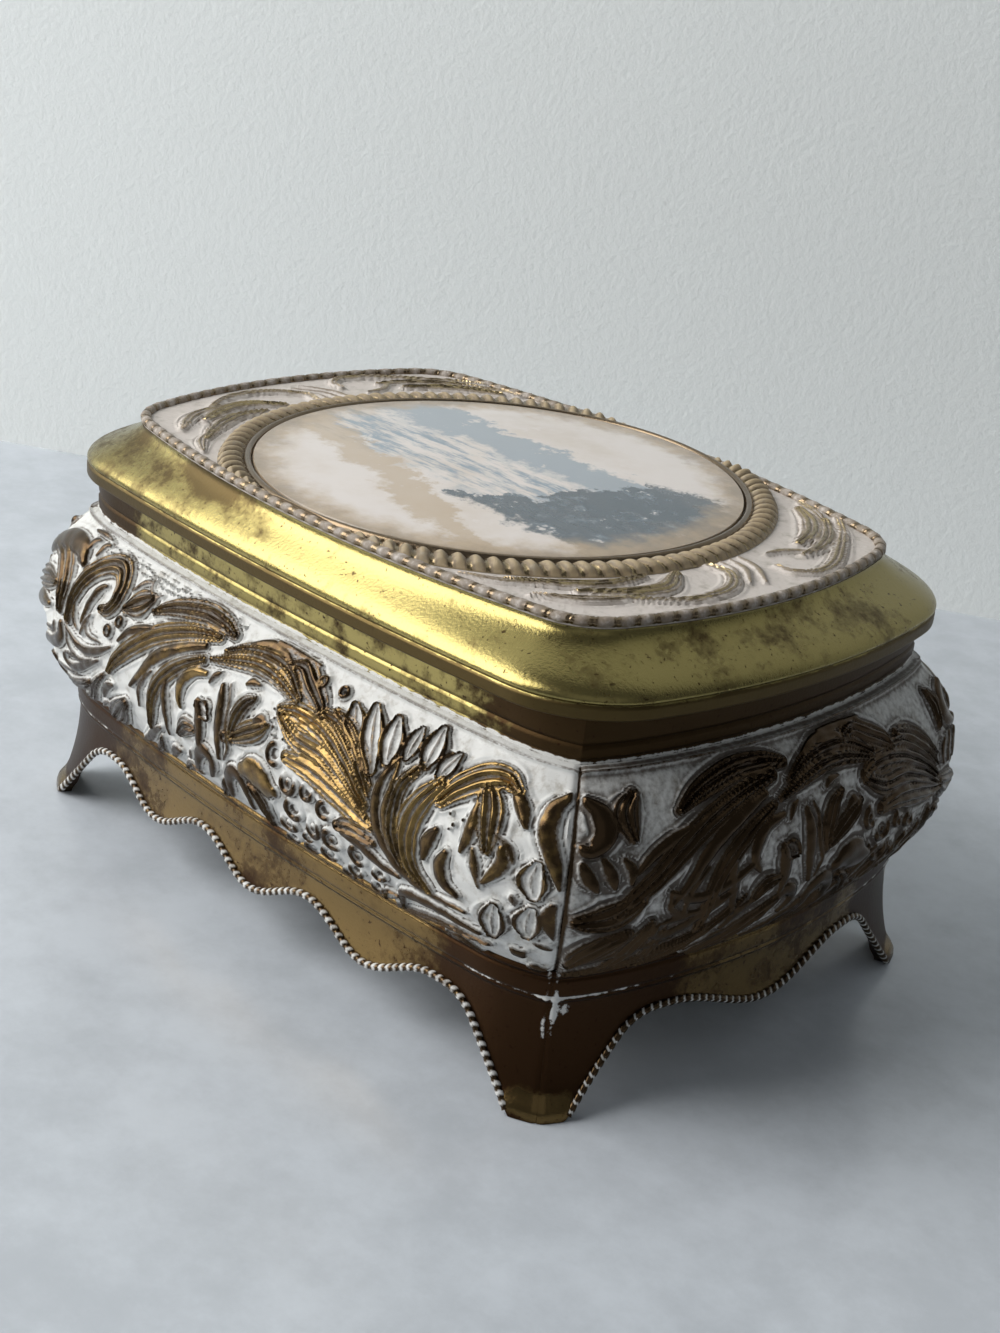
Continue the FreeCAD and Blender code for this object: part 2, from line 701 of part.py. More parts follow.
def rope_bezel():
    """Half-round ring about the picture, trimmed where it runs over the plate's front and back edges."""
    body = new_body("rope_bezel")
    inner = f"{PICTURE_RADIUS} + ring_gap"
    outer = f"{inner} + ring_width"
    edge = f"{PLATE_TOP} + ring_edge"
    crest = f"{PLATE_TOP} + ring_height"
    bow = sagitta_radius("ring_height - ring_edge", "ring_width / 2")
    revolve(body, chain(sketch_on(body, "XZ_Plane"), [
        (inner, PLATE_TOP),
        (outer, PLATE_TOP),
        (outer, edge, bow, 1),
        (f"{inner} + ring_width / 2", crest, bow, 1),
        (inner, edge),
    ]))
    around = sketch_on(body, "XY_Plane", PLATE_TOP)
    TOP.draw(around, "-ring_margin")
    circle(around, f"2 * ({outer})")
    pocket_through(body, around)
    node(body, "rope_bezel")


def picture_disc():
    """Round disc with a low dome, over its card."""
    body = new_body("picture_disc")
    edge = f"{PICTURE_BACK} + picture_rim"
    dome = sagitta_radius("picture_crown", PICTURE_RADIUS)
    revolve(body, chain(sketch_on(body, "XZ_Plane"), [
        ("0", PICTURE_BACK),
        (PICTURE_RADIUS, PICTURE_BACK),
        (PICTURE_RADIUS, edge, dome, 1),
        ("0", f"{edge} + picture_crown"),
    ]))
    node(body, "picture_disc")


def backing_card():
    """Card disc that beds the picture on the plate."""
    body = new_body("backing_card")
    outline = circle(sketch_on(body, "XY_Plane", PLATE_TOP), f"{PICTURE_RADIUS} - card_inset")
    pad(body, outline, "card_thickness")
    node(body, "backing_card")


BOARD_TOP = "(cove_top - wall - seat_gap)"
BOARD_LOW = f"({BOARD_TOP} - board_thickness)"


def lid_board():
    """Card under the flange that carries the lid's pad."""
    body = new_body("lid_board")
    pad(body, TOP.draw(sketch_on(body, "XY_Plane", BOARD_LOW), "-board_inset"), "board_thickness")
    node(body, "lid_board")


# Hinge

KNUCKLE = "((lip_overhang - wall - base_leaf_gap - lid_leaf_gap) / 2)"
AXIS_Y = f"(neck_half_width + base_leaf_gap + {KNUCKLE})"
HINGE_LEVEL = f"({LIP_LOW} - hinge_drop)"
BASE_LEAF_END = f"({LEDGE} + base_leaf_margin)"
LID_LEAF_END = f"({LIP_TOP} - lid_leaf_margin)"
BASE_RIVET_LEVEL = f"(({BASE_LEAF_END} + {HINGE_LEVEL} - {KNUCKLE}) / 2)"
LID_RIVET_LEVEL = f"(({LIP_LOW} + {LIP_TOP}) / 2)"


def hinge_leaf(name, is_lid):
    """A leaf rolled into knuckles: its section run along the hinge, notched for the other leaf and bored."""
    body = new_body(name)
    if is_lid:
        out, back, first_notch, end, rivet_level = "+", "-", 0, LID_LEAF_END, LID_RIVET_LEVEL
    else:
        out, back, first_notch, end, rivet_level = "-", "+", 1, BASE_LEAF_END, BASE_RIVET_LEVEL
    flat = f"{AXIS_Y} {out} {KNUCKLE}"
    inner = f"{AXIS_Y} {out} ({KNUCKLE} - leaf_thickness)"
    meet = f"{HINGE_LEVEL} {out} sqrt({KNUCKLE}^2 - ({KNUCKLE} - leaf_thickness)^2)"
    section = chain(sketch_on(body, "YZ_Plane"), [
        (flat, end),
        (inner, end),
        (inner, meet, KNUCKLE, 1),
        (AXIS_Y, f"{HINGE_LEVEL} {out} {KNUCKLE}", KNUCKLE, 1),
        (f"{AXIS_Y} {back} {KNUCKLE}", HINGE_LEVEL, KNUCKLE, 1),
        (AXIS_Y, f"{HINGE_LEVEL} {back} {KNUCKLE}", KNUCKLE, 1),
        (flat, HINGE_LEVEL),
    ])
    pad(body, section, "hinge_length", Midplane=True)
    notches = sketch_on(body, "XZ_Plane")
    low = f"{HINGE_LEVEL} - {KNUCKLE} - knuckle_gap"
    high = f"{HINGE_LEVEL} + {KNUCKLE} + knuckle_gap"
    for index in range(first_notch, KNUCKLES, 2):
        start = f"hinge_length * ({index} / {KNUCKLES} - 0.5) - knuckle_gap"
        finish = f"hinge_length * ({index + 1} / {KNUCKLES} - 0.5) + knuckle_gap"
        rectangle(notches, start, finish, low, high)
    pocket_through(body, notches)
    pocket_through(body, circle(sketch_on(body, "YZ_Plane"), "pin_radius + pin_fit", AXIS_Y, HINGE_LEVEL))
    holes = sketch_on(body, "XZ_Plane")
    for across in ("rivet_spread", "-rivet_spread"):
        circle(holes, "rivet_radius + rivet_fit", across, rivet_level)
    pocket_through(body, holes)
    node(body, name)


def hinge_pin():
    """Pin through all the knuckles."""
    pin = doc.addObject("Part::Cylinder", "hinge_pin")
    pin.setExpression("Radius", bound("pin_radius"))
    pin.setExpression("Height", bound("hinge_length"))
    pin.setExpression("Placement.Base.x", bound("-hinge_length / 2"))
    pin.setExpression("Placement.Base.y", bound(AXIS_Y))
    pin.setExpression("Placement.Base.z", bound(HINGE_LEVEL))
    pin.Placement.Rotation = FreeCAD.Rotation(FreeCAD.Vector(0, 1, 0), 90)
    node(pin, "hinge_pin")


def hinge_rivets(name, level, inside, outside):
    """Two rivets along Y, headed on both faces of what they hold."""
    rivets = []
    for across in ("rivet_spread", "-rivet_spread"):
        stages = []
        for radius, start, end in (
            ("rivet_head_radius", f"{inside} - rivet_head", inside),
            ("rivet_radius", inside, outside),
            ("rivet_head_radius", outside, f"{outside} + rivet_head"),
        ):
            stage = doc.addObject("Part::Cylinder", "rivet_stage")
            stage.setExpression("Radius", bound(radius))
            stage.setExpression("Height", bound(f"({end}) - ({start})"))
            stage.setExpression("Placement.Base.x", bound(across))
            stage.setExpression("Placement.Base.y", bound(start))
            stage.setExpression("Placement.Base.z", bound(level))
            stage.Placement.Rotation = FreeCAD.Rotation(FreeCAD.Vector(1, 0, 0), -90)
            stages.append(stage)
        rivet = doc.addObject("Part::MultiFuse", "rivet")
        rivet.Shapes = stages
        rivets.append(rivet)
    group = doc.addObject("Part::Compound", name)
    group.Links = rivets
    node(group, name)


def build():
    """Model every sub-part in the order in which the box goes together."""
    for side in SIDES:
        panel(side)
    corner_clips()
    bottom_plate()
    floor_pad_low = f"{FLOOR} + soft_gap"
    floor_pad_high = f"{floor_pad_low} + pad_thickness"
    cushion("floor_pad", NECK, f"({LINING_IN} + soft_gap)", floor_pad_low, floor_pad_high, True)
    for side in SIDES:
        lining(side)
    lid_frame()
    top_plate()
    rope_bezel()
    picture_disc()
    backing_card()
    lid_board()
    lid_pad_high = f"{BOARD_LOW} - soft_gap"
    lid_pad_low = f"{lid_pad_high} - lid_pad_thickness"
    cushion("lid_pad", TOP, "lid_pad_inset", lid_pad_low, lid_pad_high, False)
    hinge_leaf("hinge_base_leaf", False)
    hinge_leaf("hinge_lid_leaf", True)
    hinge_pin()
    neck_back = f"neck_half_width - wall - rivet_spread^2 / (2 * {NECK.long_core}) - seat_gap"
    base_leaf_face = "neck_half_width + base_leaf_gap + leaf_thickness + seat_gap"
    hinge_rivets("hinge_base_rivets", BASE_RIVET_LEVEL, neck_back, base_leaf_face)
    lip_face = "neck_half_width + lip_overhang + seat_gap"
    lid_leaf_face = "neck_half_width + lip_overhang - wall - lid_leaf_gap - leaf_thickness - seat_gap"
    hinge_rivets("hinge_lid_rivets", LID_RIVET_LEVEL, lid_leaf_face, lip_face)


def check_and_write():
    """Stop at any failed feature or bad solid, then write one file for each sub-part."""
    doc.recompute()
    for thing in doc.Objects:
        if {"Invalid", "Error"} & set(thing.State):
            raise RuntimeError(f"{thing.Name} failed: {thing.State}")
    for part in NODES:
        if part.Shape.isNull() or not part.Shape.isValid() or not part.Shape.Solids:
            raise RuntimeError(f"{part.Label} is not a sound solid")
    os.makedirs("parts", exist_ok=True)
    for part in NODES:
        part.Shape.exportStep(f"parts/{part.Label}.step")
        print(f"{part.Label}: {len(part.Shape.Solids)} solid, {part.Shape.Volume:.1f} mm3")


fill_sheet()
build()
check_and_write()
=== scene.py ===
"""Dress for a footed trinket box of pressed brass sheet: relief walls, scalloped skirt and coved lid.

Shapes are worked out in millimetres as numpy grids and written to meshes in metres. The frame is the packed
box: front towards -Y, length along X, +Z up.
"""

import math
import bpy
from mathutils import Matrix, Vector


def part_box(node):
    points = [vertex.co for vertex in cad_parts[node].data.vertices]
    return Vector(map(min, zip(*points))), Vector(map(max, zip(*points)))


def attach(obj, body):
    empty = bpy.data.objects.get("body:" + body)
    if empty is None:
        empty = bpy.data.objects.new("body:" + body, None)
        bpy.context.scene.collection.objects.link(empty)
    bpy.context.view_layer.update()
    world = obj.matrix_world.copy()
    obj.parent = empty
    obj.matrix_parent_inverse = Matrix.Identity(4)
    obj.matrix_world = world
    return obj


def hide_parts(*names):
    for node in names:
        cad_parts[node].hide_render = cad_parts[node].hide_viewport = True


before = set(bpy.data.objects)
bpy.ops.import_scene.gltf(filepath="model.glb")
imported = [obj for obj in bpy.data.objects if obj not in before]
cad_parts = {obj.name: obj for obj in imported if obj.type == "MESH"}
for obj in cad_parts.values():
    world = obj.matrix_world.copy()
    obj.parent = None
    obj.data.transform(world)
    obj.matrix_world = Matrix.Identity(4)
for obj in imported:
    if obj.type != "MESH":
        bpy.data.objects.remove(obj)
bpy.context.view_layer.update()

from types import SimpleNamespace

import bpy
import numpy as np

bl_info = {
    "name": "Trinket Box Dress",
    "version": (1, 0, 0),
    "blender": (4, 5, 0),
    "location": "View3D > Sidebar > Trinket Box",
    "description": "Builds the visible pieces of a footed trinket box around its packed frame",
    "category": "Object",
}

MILLIMETRE = 0.001
LID_LOW, LID_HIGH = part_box("lid_frame")
PLATE_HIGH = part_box("top_plate")[1]
PICTURE_LOW, PICTURE_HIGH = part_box("picture_disc")
RING_LOW, RING_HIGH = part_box("rope_bezel")
PAD_LOW, PAD_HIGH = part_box("floor_pad")
LINING_LOW, LINING_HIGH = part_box("front_lining")
LID_PAD_LOW, LID_PAD_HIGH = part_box("lid_pad")

# Columns of each grid along a long wall and along an end
COLUMNS = {
    "relief": (620, 480), "neck": (260, 180), "skirt": (640, 440), "rope": (4000, 4000), "lining": (240, 160),
}
RELIEF_ROWS, RELIEF_BACK_ROWS = 146, 8
NECK_ROWS, NECK_BACK_ROWS = 48, 10
BAND_ROWS, SKIRT_ROWS = 34, 30
ROPE_SIDES, ROPE_STEPS, ROPE_SLANT = 14, 10, 1.2
COVE_ROWS, LIP_ROWS = 48, 20
PLATE_ROWS, BORDER_SIDES = 68, 16
RING_ROWS, RING_COLUMNS, RING_STRANDS = 30, 1800, 104
PICTURE_ROWS, PICTURE_COLUMNS, PICTURE_CROWN = 60, 240, 0.9
LINING_ROWS = 48
SHARP_DEGREES = 50.0

# Strokes are drawn broader than their listed widths: leaves, corner motifs, and the stems on the ends
LEAF_BROAD, CORNER_BROAD, STEM_BROAD, PLATE_BROAD = 1.5, 1.4, 1.7, 1.1
# Passes of blur that find the hollows beside the ornament, on the walls and on the plate
WALL_BLUR, PLATE_BLUR = 20, 16
# The ends are darker than the long walls as painted shade: less tone, more metal, more dark wash in hollows
END_TONE_LOSS, END_SHADE_METAL, END_PAINTED_SHADE = 0.6, 1.12, 0.34
# Depths in millimetres of the dip at a seam, on the relief and on the skirt
RELIEF_SEAM_DIP, SKIRT_SEAM_DIP = 0.45, 0.3
# Lining: back and face beyond the inside of the neck, and the round of its top edge
LINING_BACK, LINING_FACE, LINING_EDGE = 2.0, 3.45, 0.6


def length(name, description, default):
    """A size of the box, in metres."""
    return bpy.props.FloatProperty(
        name=name, description=description, default=default, unit="LENGTH", precision=5)


def colour(name, description, default):
    """A colour of the box, linear."""
    return bpy.props.FloatVectorProperty(
        name=name, description=description, default=default, subtype="COLOR", size=3, min=0.0, max=1.0)


class BodySizes(bpy.types.PropertyGroup):
    """Plan and upright profile of the base."""

    neck_half_length: length("Neck half length", "Middle of the box to the neck at the ends", 0.0658)
    neck_half_width: length("Neck half width", "Middle of the box to the neck at the front", 0.0433)
    long_bow: length("Long bow", "How far the long sides bow out", 0.0022)
    short_bow: length("Short bow", "How far the ends bow out", 0.0032)
    corner_radius: length("Corner radius", "Round corner of the neck", 0.015)
    crease_out: length("Crease", "Seam beyond the round corner", 0.0015)
    wall: length("Wall", "Thickness of the pressed sheet", 0.0008)
    rim_level: length("Rim level", "Top of the neck above the table", 0.0643)
    ledge_level: length("Ledge level", "Where the relief begins under the neck", 0.0542)
    ledge_out: length("Ledge step", "Ledge beyond the neck", 0.0006)
    bulge_level: length("Bulge level", "Widest part of the belly", 0.0365)
    bulge_out: length("Bulge", "Belly beyond the neck", 0.0089)
    waist_level: length("Waist level", "Where the relief ends above the band", 0.0232)
    waist_out: length("Waist", "Waist beyond the neck", 0.0030)
    band_bottom: length("Band bottom", "Lower edge of the plain band", 0.0176)
    skirt_out: length("Skirt top", "Top of the skirt beyond the neck", 0.0025)
    foot_out: length("Foot", "Toe beyond the neck", 0.0063)
    toe_thickness: length("Toe thickness", "Thickness of a foot at the table", 0.0024)
    toe_top: length("Toe top", "Height to which a foot is thick", 0.0070)
    scallop_top: length("Scallop top", "Highest line of the wavy edge", 0.0142)
    scallop_depth: length("Scallop depth", "From the highest to the lowest of the wavy edge", 0.0046)
    scallop_flat: length("Scallop flat", "Straight stretch beside the arches", 0.0020)
    arch_radius: length("Arch radius", "Arch between the skirt and a foot", 0.0090)
    arch_span: length("Arch span", "From the start of an arch to the toe", 0.0165)
    long_leg: length("Long leg", "Middle of the front to a toe", 0.0601)
    short_leg: length("Short leg", "Middle of an end to a toe", 0.0386)
    relief_height: length("Relief height", "Highest ornament above the ground", 0.0012)
    rope_radius: length("Rope edge radius", "Rolled edge of the skirt", 0.0006)
    rope_pitch: length("Rope edge pitch", "One strand of the rolled edge", 0.0015)


class LidSizes(bpy.types.PropertyGroup):
    """Plan and profile of the lid."""

    lip_half_length: length("Lip half length", "Middle of the lid to the lip at the ends", LID_HIGH[0])
    lip_half_width: length("Lip half width", "Middle of the lid to the lip at the front", LID_HIGH[1])
    lip_radius: length("Lip corner radius", "Round corner of the lip", 0.0182)
    lip_level: length("Lip level", "Lower edge of the lip", LID_LOW[2])
    lip_top: length("Lip top", "Where the cove begins", 0.0642)
    top_half_length: length("Top half length", "Middle of the lid to the plate's end", PLATE_HIGH[0])
    top_half_width: length("Top half width", "Middle of the lid to the plate's front", PLATE_HIGH[1])
    top_long_bow: length("Top long bow", "How far the plate's long sides bow out", 0.0050)
    top_short_bow: length("Top short bow", "How far the plate's ends bow out", 0.0039)
    top_radius: length("Top corner radius", "Round corner of the plate", 0.0115)
    cove_top: length("Cove top", "Top edge of the cove", LID_HIGH[2])
    plate_level: length("Plate level", "Face of the plate", PLATE_HIGH[2])
    flange: length("Flange", "Width of the flange under the plate", 0.0060)
    plate_relief: length("Plate relief", "Highest ornament above the plate", 0.0010)
    bead_pitch: length("Bead pitch", "One bead of the plate's border", 0.0031)
    bead_radius: length("Bead radius", "Half thickness of the plate's border", 0.00085)
    ring_inner: length("Ring inner radius", "Opening of the rope ring", 0.04015)
    ring_outer: length("Ring outer radius", "Outside of the rope ring", 0.04555)
    ring_height: length("Ring height", "Rope ring above the plate", RING_HIGH[2] - RING_LOW[2])
    picture_radius: length("Picture radius", "Round picture", PICTURE_HIGH[0])


class Colours(bpy.types.PropertyGroup):
    """Finishes of the box and of the stage."""

    white_wash: colour("White wash", "Paint in the hollows of the relief", (0.64, 0.64, 0.62))
    wash_dirt: colour("Wash dirt", "Grime on the paint", (0.30, 0.27, 0.22))
    gilt: colour("Gilt", "Rubbed brass of the relief", (0.26, 0.17, 0.06))
    # Tarnish also darkens the paint at the foot of the ornament: grime with painted shade
    tarnish: colour("Tarnish", "Browned brass of the relief", (0.052, 0.032, 0.016))
    lid_brass: colour("Lid brass", "Polished brass of the cove and the neck", (0.285, 0.235, 0.088))
    # Lid tarnish is also the painted shade on the cove's ends and left side
    lid_tarnish: colour("Lid tarnish", "Specks and patches on the cove", (0.075, 0.05, 0.02))
    band_brass: colour("Band brass", "Plain band, skirt, rope edge and hinge", (0.165, 0.11, 0.044))
    # Band tarnish is also the painted shade on the necks and on the skirts near the feet
    band_tarnish: colour("Band tarnish", "Browning of the band, neck, skirt and hinge", (0.032, 0.014, 0.007))
    plate_wash: colour("Plate wash", "Paint on the lid's plate", (0.56, 0.51, 0.47))
    plate_gilt: colour("Plate gilt", "Ridges of the lid's plate", (0.42, 0.33, 0.17))
    # Plate shade is browned brass on plate and ring, grime with painted shade in their hollows, a rim stain
    plate_shade: colour("Plate shade", "Grime in the hollows of the lid's plate", (0.17, 0.125, 0.08))
    ring_cream: colour("Ring cream", "Paint on the rope ring", (0.36, 0.28, 0.17))
    picture_sky: colour("Picture sky", "Palest paint of the picture", (0.71, 0.65, 0.61))
    picture_hills: colour("Picture hills", "Grey-blue paint of the picture", (0.25, 0.31, 0.36))
    picture_trees: colour("Picture trees", "Slate paint of the picture", (0.045, 0.07, 0.09))
    picture_bank: colour("Picture bank", "Tan paint of the picture", (0.45, 0.33, 0.20))
    velvet: colour("Velvet", "Lining", (0.20, 0.018, 0.028))
    velvet_sheen: colour("Velvet sheen", "Pile of the lining seen at a slant", (0.75, 0.30, 0.32))
    tin: colour("Tin", "Inner sheet", (0.42, 0.41, 0.37))
    card: colour("Card", "Lid board and backing", (0.42, 0.34, 0.23))
    floor: colour("Floor", "Pale stone floor", (0.58, 0.62, 0.67))
    backdrop: colour("Backdrop", "Pale wall behind", (0.82, 0.85, 0.84))


def body_sizes():
    """Sizes of the base in millimetres."""
    group = bpy.context.scene.trinket_body
    return SimpleNamespace(**{name: getattr(group, name) / MILLIMETRE for name in BodySizes.__annotations__})


def lid_sizes():
    """Sizes of the lid in millimetres."""
    group = bpy.context.scene.trinket_lid
    return SimpleNamespace(**{name: getattr(group, name) / MILLIMETRE for name in LidSizes.__annotations__})


def paint(name):
    """A colour of the panel as red, green, blue and alpha."""
    return (*getattr(bpy.context.scene.trinket_colours, name), 1.0)


# Meshes from grids


def shell(name, points, material, wrap_columns=False, fields=None):
    """A closed mesh from a grid of points (rows, columns, 3) in millimetres.

    Rows run round the piece's section and always close. Columns run along it and close where wrap_columns is
    set; otherwise the first and the last section are capped. Each field is a number per point, which the
    material reads.
    """
    rows, columns = points.shape[:2]
    index = np.arange(rows * columns).reshape(rows, columns)
    below = np.roll(index, -1, axis=0)
    if wrap_columns:
        here, there = index, below
        here_next, there_next = np.roll(index, -1, axis=1), np.roll(below, -1, axis=1)
    else:
        here, there = index[:, :-1], below[:, :-1]
        here_next, there_next = index[:, 1:], below[:, 1:]
    quads = np.stack([here, here_next, there_next, there], axis=-1).reshape(-1, 4)
    flat = points.reshape(-1, 3)
    corners = flat[quads]
    volume = np.einsum("ij,ij->i", corners[:, 0], np.cross(corners[:, 1], corners[:, 3])).sum()
    volume += np.einsum("ij,ij->i", corners[:, 2], np.cross(corners[:, 3], corners[:, 1])).sum()
    caps = [] if wrap_columns else [index[:, 0], index[::-1, -1]]
    if volume < 0:
        quads = quads[:, ::-1]
        caps = [cap[::-1] for cap in caps]
    loops = np.concatenate([quads.ravel(), *caps])
    sizes = np.array([4] * len(quads) + [len(cap) for cap in caps])
    mesh = bpy.data.meshes.new(name)
    mesh.vertices.add(len(flat))
    mesh.vertices.foreach_set("co", (flat * MILLIMETRE).ravel())
    mesh.loops.add(len(loops))
    mesh.loops.foreach_set("vertex_index", loops)
    mesh.polygons.add(len(sizes))
    mesh.polygons.foreach_set("loop_start", np.cumsum(sizes) - sizes)
    mesh.update(calc_edges=True)
    mesh.polygons.foreach_set("use_smooth", np.ones(len(sizes), dtype=bool))
    mesh.set_sharp_from_angle(angle=math.radians(SHARP_DEGREES))
    for field, values in (fields or {}).items():
        layer = mesh.attributes.new(field, "FLOAT", "POINT")
        layer.data.foreach_set("value", values.astype(np.float32).ravel())
    mesh.materials.append(material)
    piece = bpy.data.objects.new(name, mesh)
    bpy.context.scene.collection.objects.link(piece)
    return piece


def with_back(rows, **fields):
    """Fields of a face, with zeros for the rows that close it behind."""
    return {name: np.pad(values, ((0, rows), (0, 0))) for name, values in fields.items()}


def at_level(x, y, level):
    """Points from plan coordinates and a level, spread to one shape."""
    return np.stack(np.broadcast_arrays(x, y, level), axis=-1)


def lengths_along(path):
    """Length travelled from the first point of a path to each of its points."""
    return np.concatenate([[0.0], np.cumsum(np.linalg.norm(np.diff(path, axis=0), axis=1))])


def tube(path, side, up, angle, swell):
    """Points round a path, at an angle from the side towards the up vector and at a radius of swell."""
    section = np.cos(angle)[..., None] * side + np.sin(angle)[..., None] * up
    return path + swell[..., None] * section


def seat(piece, body, slot, *nodes):
    """Let a piece ride on its body and stand for its nodes, which are hidden. The slot is not used."""
    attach(piece, body)
    if nodes:
        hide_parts(*nodes)
    return piece


def unit(vectors):
    """Vectors scaled to length 1."""
    return vectors / np.linalg.norm(vectors, axis=-1, keepdims=True)


def grid_normals(points):
    """Outward normals of a wall grid: the way down crossed with the way along."""
    return unit(np.cross(np.gradient(points, axis=0), np.gradient(points, axis=1)))


def smooth_step(low, high, values):
    """0 below low, 1 above high, and the cubic 3t^2 - 2t^3 between them."""
    t = np.clip((values - low) / (high - low), 0.0, 1.0)
    return t * t * (3.0 - 2.0 * t)


def bell(values, centre, spread):
    """1 at the centre, falling off as a bell curve."""
    return np.exp(-((values - centre) / spread) ** 2)


def half_round(share):
    """Height of a half round: 1 in the middle, falling to 0 at a share of 1 to either side."""
    return np.sqrt(np.clip(1.0 - share ** 2, 0.0, 1.0))


def blurred(values, passes):
    """Values averaged with their four neighbours a number of times."""
    for _ in range(passes):
        wide = np.pad(values, 1, mode="edge")
        values = 0.5 * values + 0.125 * (wide[:-2, 1:-1] + wide[2:, 1:-1] + wide[1:-1, :-2] + wide[1:-1, 2:])
    return values


def scatter(first, second, seed):
    """A fixed number from 0 to 1 for each pair of whole numbers: the fraction of a large sine."""
    wave = np.sin(first * 127.1 + second * 311.7 + seed * 74.7) * 43758.5
    return wave - np.floor(wave)


# Walls of the base


class Wall:
    """One side of the box, worked out as if it faced -Y and then turned about Z by quarter turns.

    Its plan is a shallow arc that runs into a corner arc at each end. The corner arc ends on the plane of the
    seam, a little outside a round corner, so that two walls meet in a crease. A place is given by the length
    along the neck's outline from the middle, the offset out from the neck, and the level.
    """

    def __init__(self, name, is_long, quarter_turns):
        sizes = body_sizes()
        corner_x = sizes.neck_half_length - sizes.short_bow - sizes.corner_radius
        corner_y = sizes.neck_half_width - sizes.long_bow - sizes.corner_radius
        self.name, self.is_long, self.quarter_turns = name, is_long, quarter_turns
        self.across, self.depth = (corner_x, corner_y) if is_long else (corner_y, corner_x)
        self.bow = sizes.long_bow if is_long else sizes.short_bow
        self.leg = sizes.long_leg if is_long else sizes.short_leg
        self.lobes = 3 if is_long else 1
        self.radius = sizes.corner_radius
        self.core = (self.across ** 2 + self.bow ** 2) / (2.0 * self.bow)
        self.lean = math.asin(self.across / self.core)
        self.flat = (self.core + self.radius) * self.lean
        reach, turn = self.radius + sizes.crease_out, math.pi / 4.0 - self.lean
        chord = self.radius ** 2 + reach ** 2 - 2.0 * self.radius * reach * math.cos(turn)
        self.corner_arc = chord / (2.0 * (self.radius - reach * math.cos(turn)))
        bend = 2.0 * math.asin(math.sqrt(chord) / 2.0 / self.corner_arc)
        self.seam = self.flat + bend * self.corner_arc
        self.crease = math.tan(turn - bend)

    def plan(self, along, out):
        """Plan of a place: on the long arc and then on the corner's arc, with the offset along the normal.

        Towards the seam the offset leans over, so that the last column lies in the plane of the seam.
        """
        size = np.abs(along)
        turn = np.minimum(size, self.flat) / (self.core + self.radius)
        beyond = np.maximum(size - self.flat, 0.0)
        angle = turn + beyond / self.corner_arc
        x = (self.core + self.radius) * np.sin(turn) + self.corner_arc * (np.sin(angle) - np.sin(turn))
        y = self.core - self.depth - self.bow - (self.core + self.radius) * np.cos(turn)
        y = y - self.corner_arc * (np.cos(angle) - np.cos(turn))
        slip = self.crease * (beyond / (self.seam - self.flat)) ** 2
        x = x + out * (np.sin(angle) + slip * np.cos(angle))
        y = y - out * (np.cos(angle) - slip * np.sin(angle))
        return np.sign(along) * x, y

    def place(self, along, out, level):
        """Points in the box's frame."""
        along, out, level = np.broadcast_arrays(along, out, level)
        x, y = self.plan(along, out)
        for _ in range(self.quarter_turns):
            x, y = -y, x
        return at_level(x, y, level)

    def columns(self, grid):
        """Evenly spread lengths along the wall, from seam to seam, as many as the named grid has."""
        return np.linspace(-self.seam, self.seam, COLUMNS[grid][0 if self.is_long else 1])


def walls():
    """The four walls of the box."""
    return [Wall("front", True, 0), Wall("right", False, 1), Wall("back", True, 2), Wall("left", False, 3)]


def belly_length():
    """Length of the relief zone from the ledge down to the waist."""
    arcs = belly_arcs()
    return arcs.upper * arcs.upper_turn + arcs.lower * arcs.lower_turn


def belly_arcs():
    """Radii and turns of the two arcs that meet at the bulge."""
    sizes = body_sizes()
    run, rise = sizes.bulge_out - sizes.ledge_out, sizes.ledge_level - sizes.bulge_level
    upper = (run ** 2 + rise ** 2) / (2.0 * run)
    run_low, rise_low = sizes.bulge_out - sizes.waist_out, sizes.bulge_level - sizes.waist_level
    lower = (run_low ** 2 + rise_low ** 2) / (2.0 * run_low)
    return SimpleNamespace(
        upper=upper, upper_turn=math.asin(rise / upper), lower=lower, lower_turn=math.asin(rise_low / lower))


def belly(down):
    """Offset out and level at a length down from the ledge: round the upper arc, then round the lower one."""
    sizes, arcs = body_sizes(), belly_arcs()
    middle = arcs.upper * arcs.upper_turn
    above = arcs.upper_turn - down / arcs.upper
    below = (down - middle) / arcs.lower
    is_above = down < middle
    out = np.where(is_above, arcs.upper * (np.cos(above) - 1.0), arcs.lower * (np.cos(below) - 1.0))
    level = np.where(is_above, arcs.upper * np.sin(above), -arcs.lower * np.sin(below))
    return sizes.bulge_out + out, sizes.bulge_level + level


# Ornament: motifs are (section, tone, width, places). Places are millimetres along and down from the ledge.
# The tone runs from browned (0) to bright gilt (1).

LEFT_LEAF = [
    ("round", 0.3, 3.2, [(-60.5, 11.0), (-56.0, 6.6), (-51.5, 5.6), (-48.4, 7.6)]),
    ("leaf", 0.3, 3.4, [(-60.0, 8.6), (-54.5, 8.2), (-51.6, 11.5), (-50.6, 16.8)]),
    ("leaf", 0.4, 3.0, [(-60.5, 16.8), (-56.5, 14.2), (-53.0, 13.2)]),
    ("round", 0.5, 2.2, [(-60.5, 21.0), (-57.0, 18.4), (-53.6, 17.4)]),
    ("round", 0.2, 1.7, [(-49.8, 18.8), (-49.9, 21.2), (-52.2, 23.6), (-56.0, 25.2), (-59.0, 27.4)]),
    ("round", 0.2, 1.2, [(-51.6, 19.6), (-52.2, 21.2), (-54.4, 21.8)]),
    ("rim", 0.2, 3.6, [(-58.4, 34.4), (-57.4, 32.0), (-57.4, 29.6)]),
]
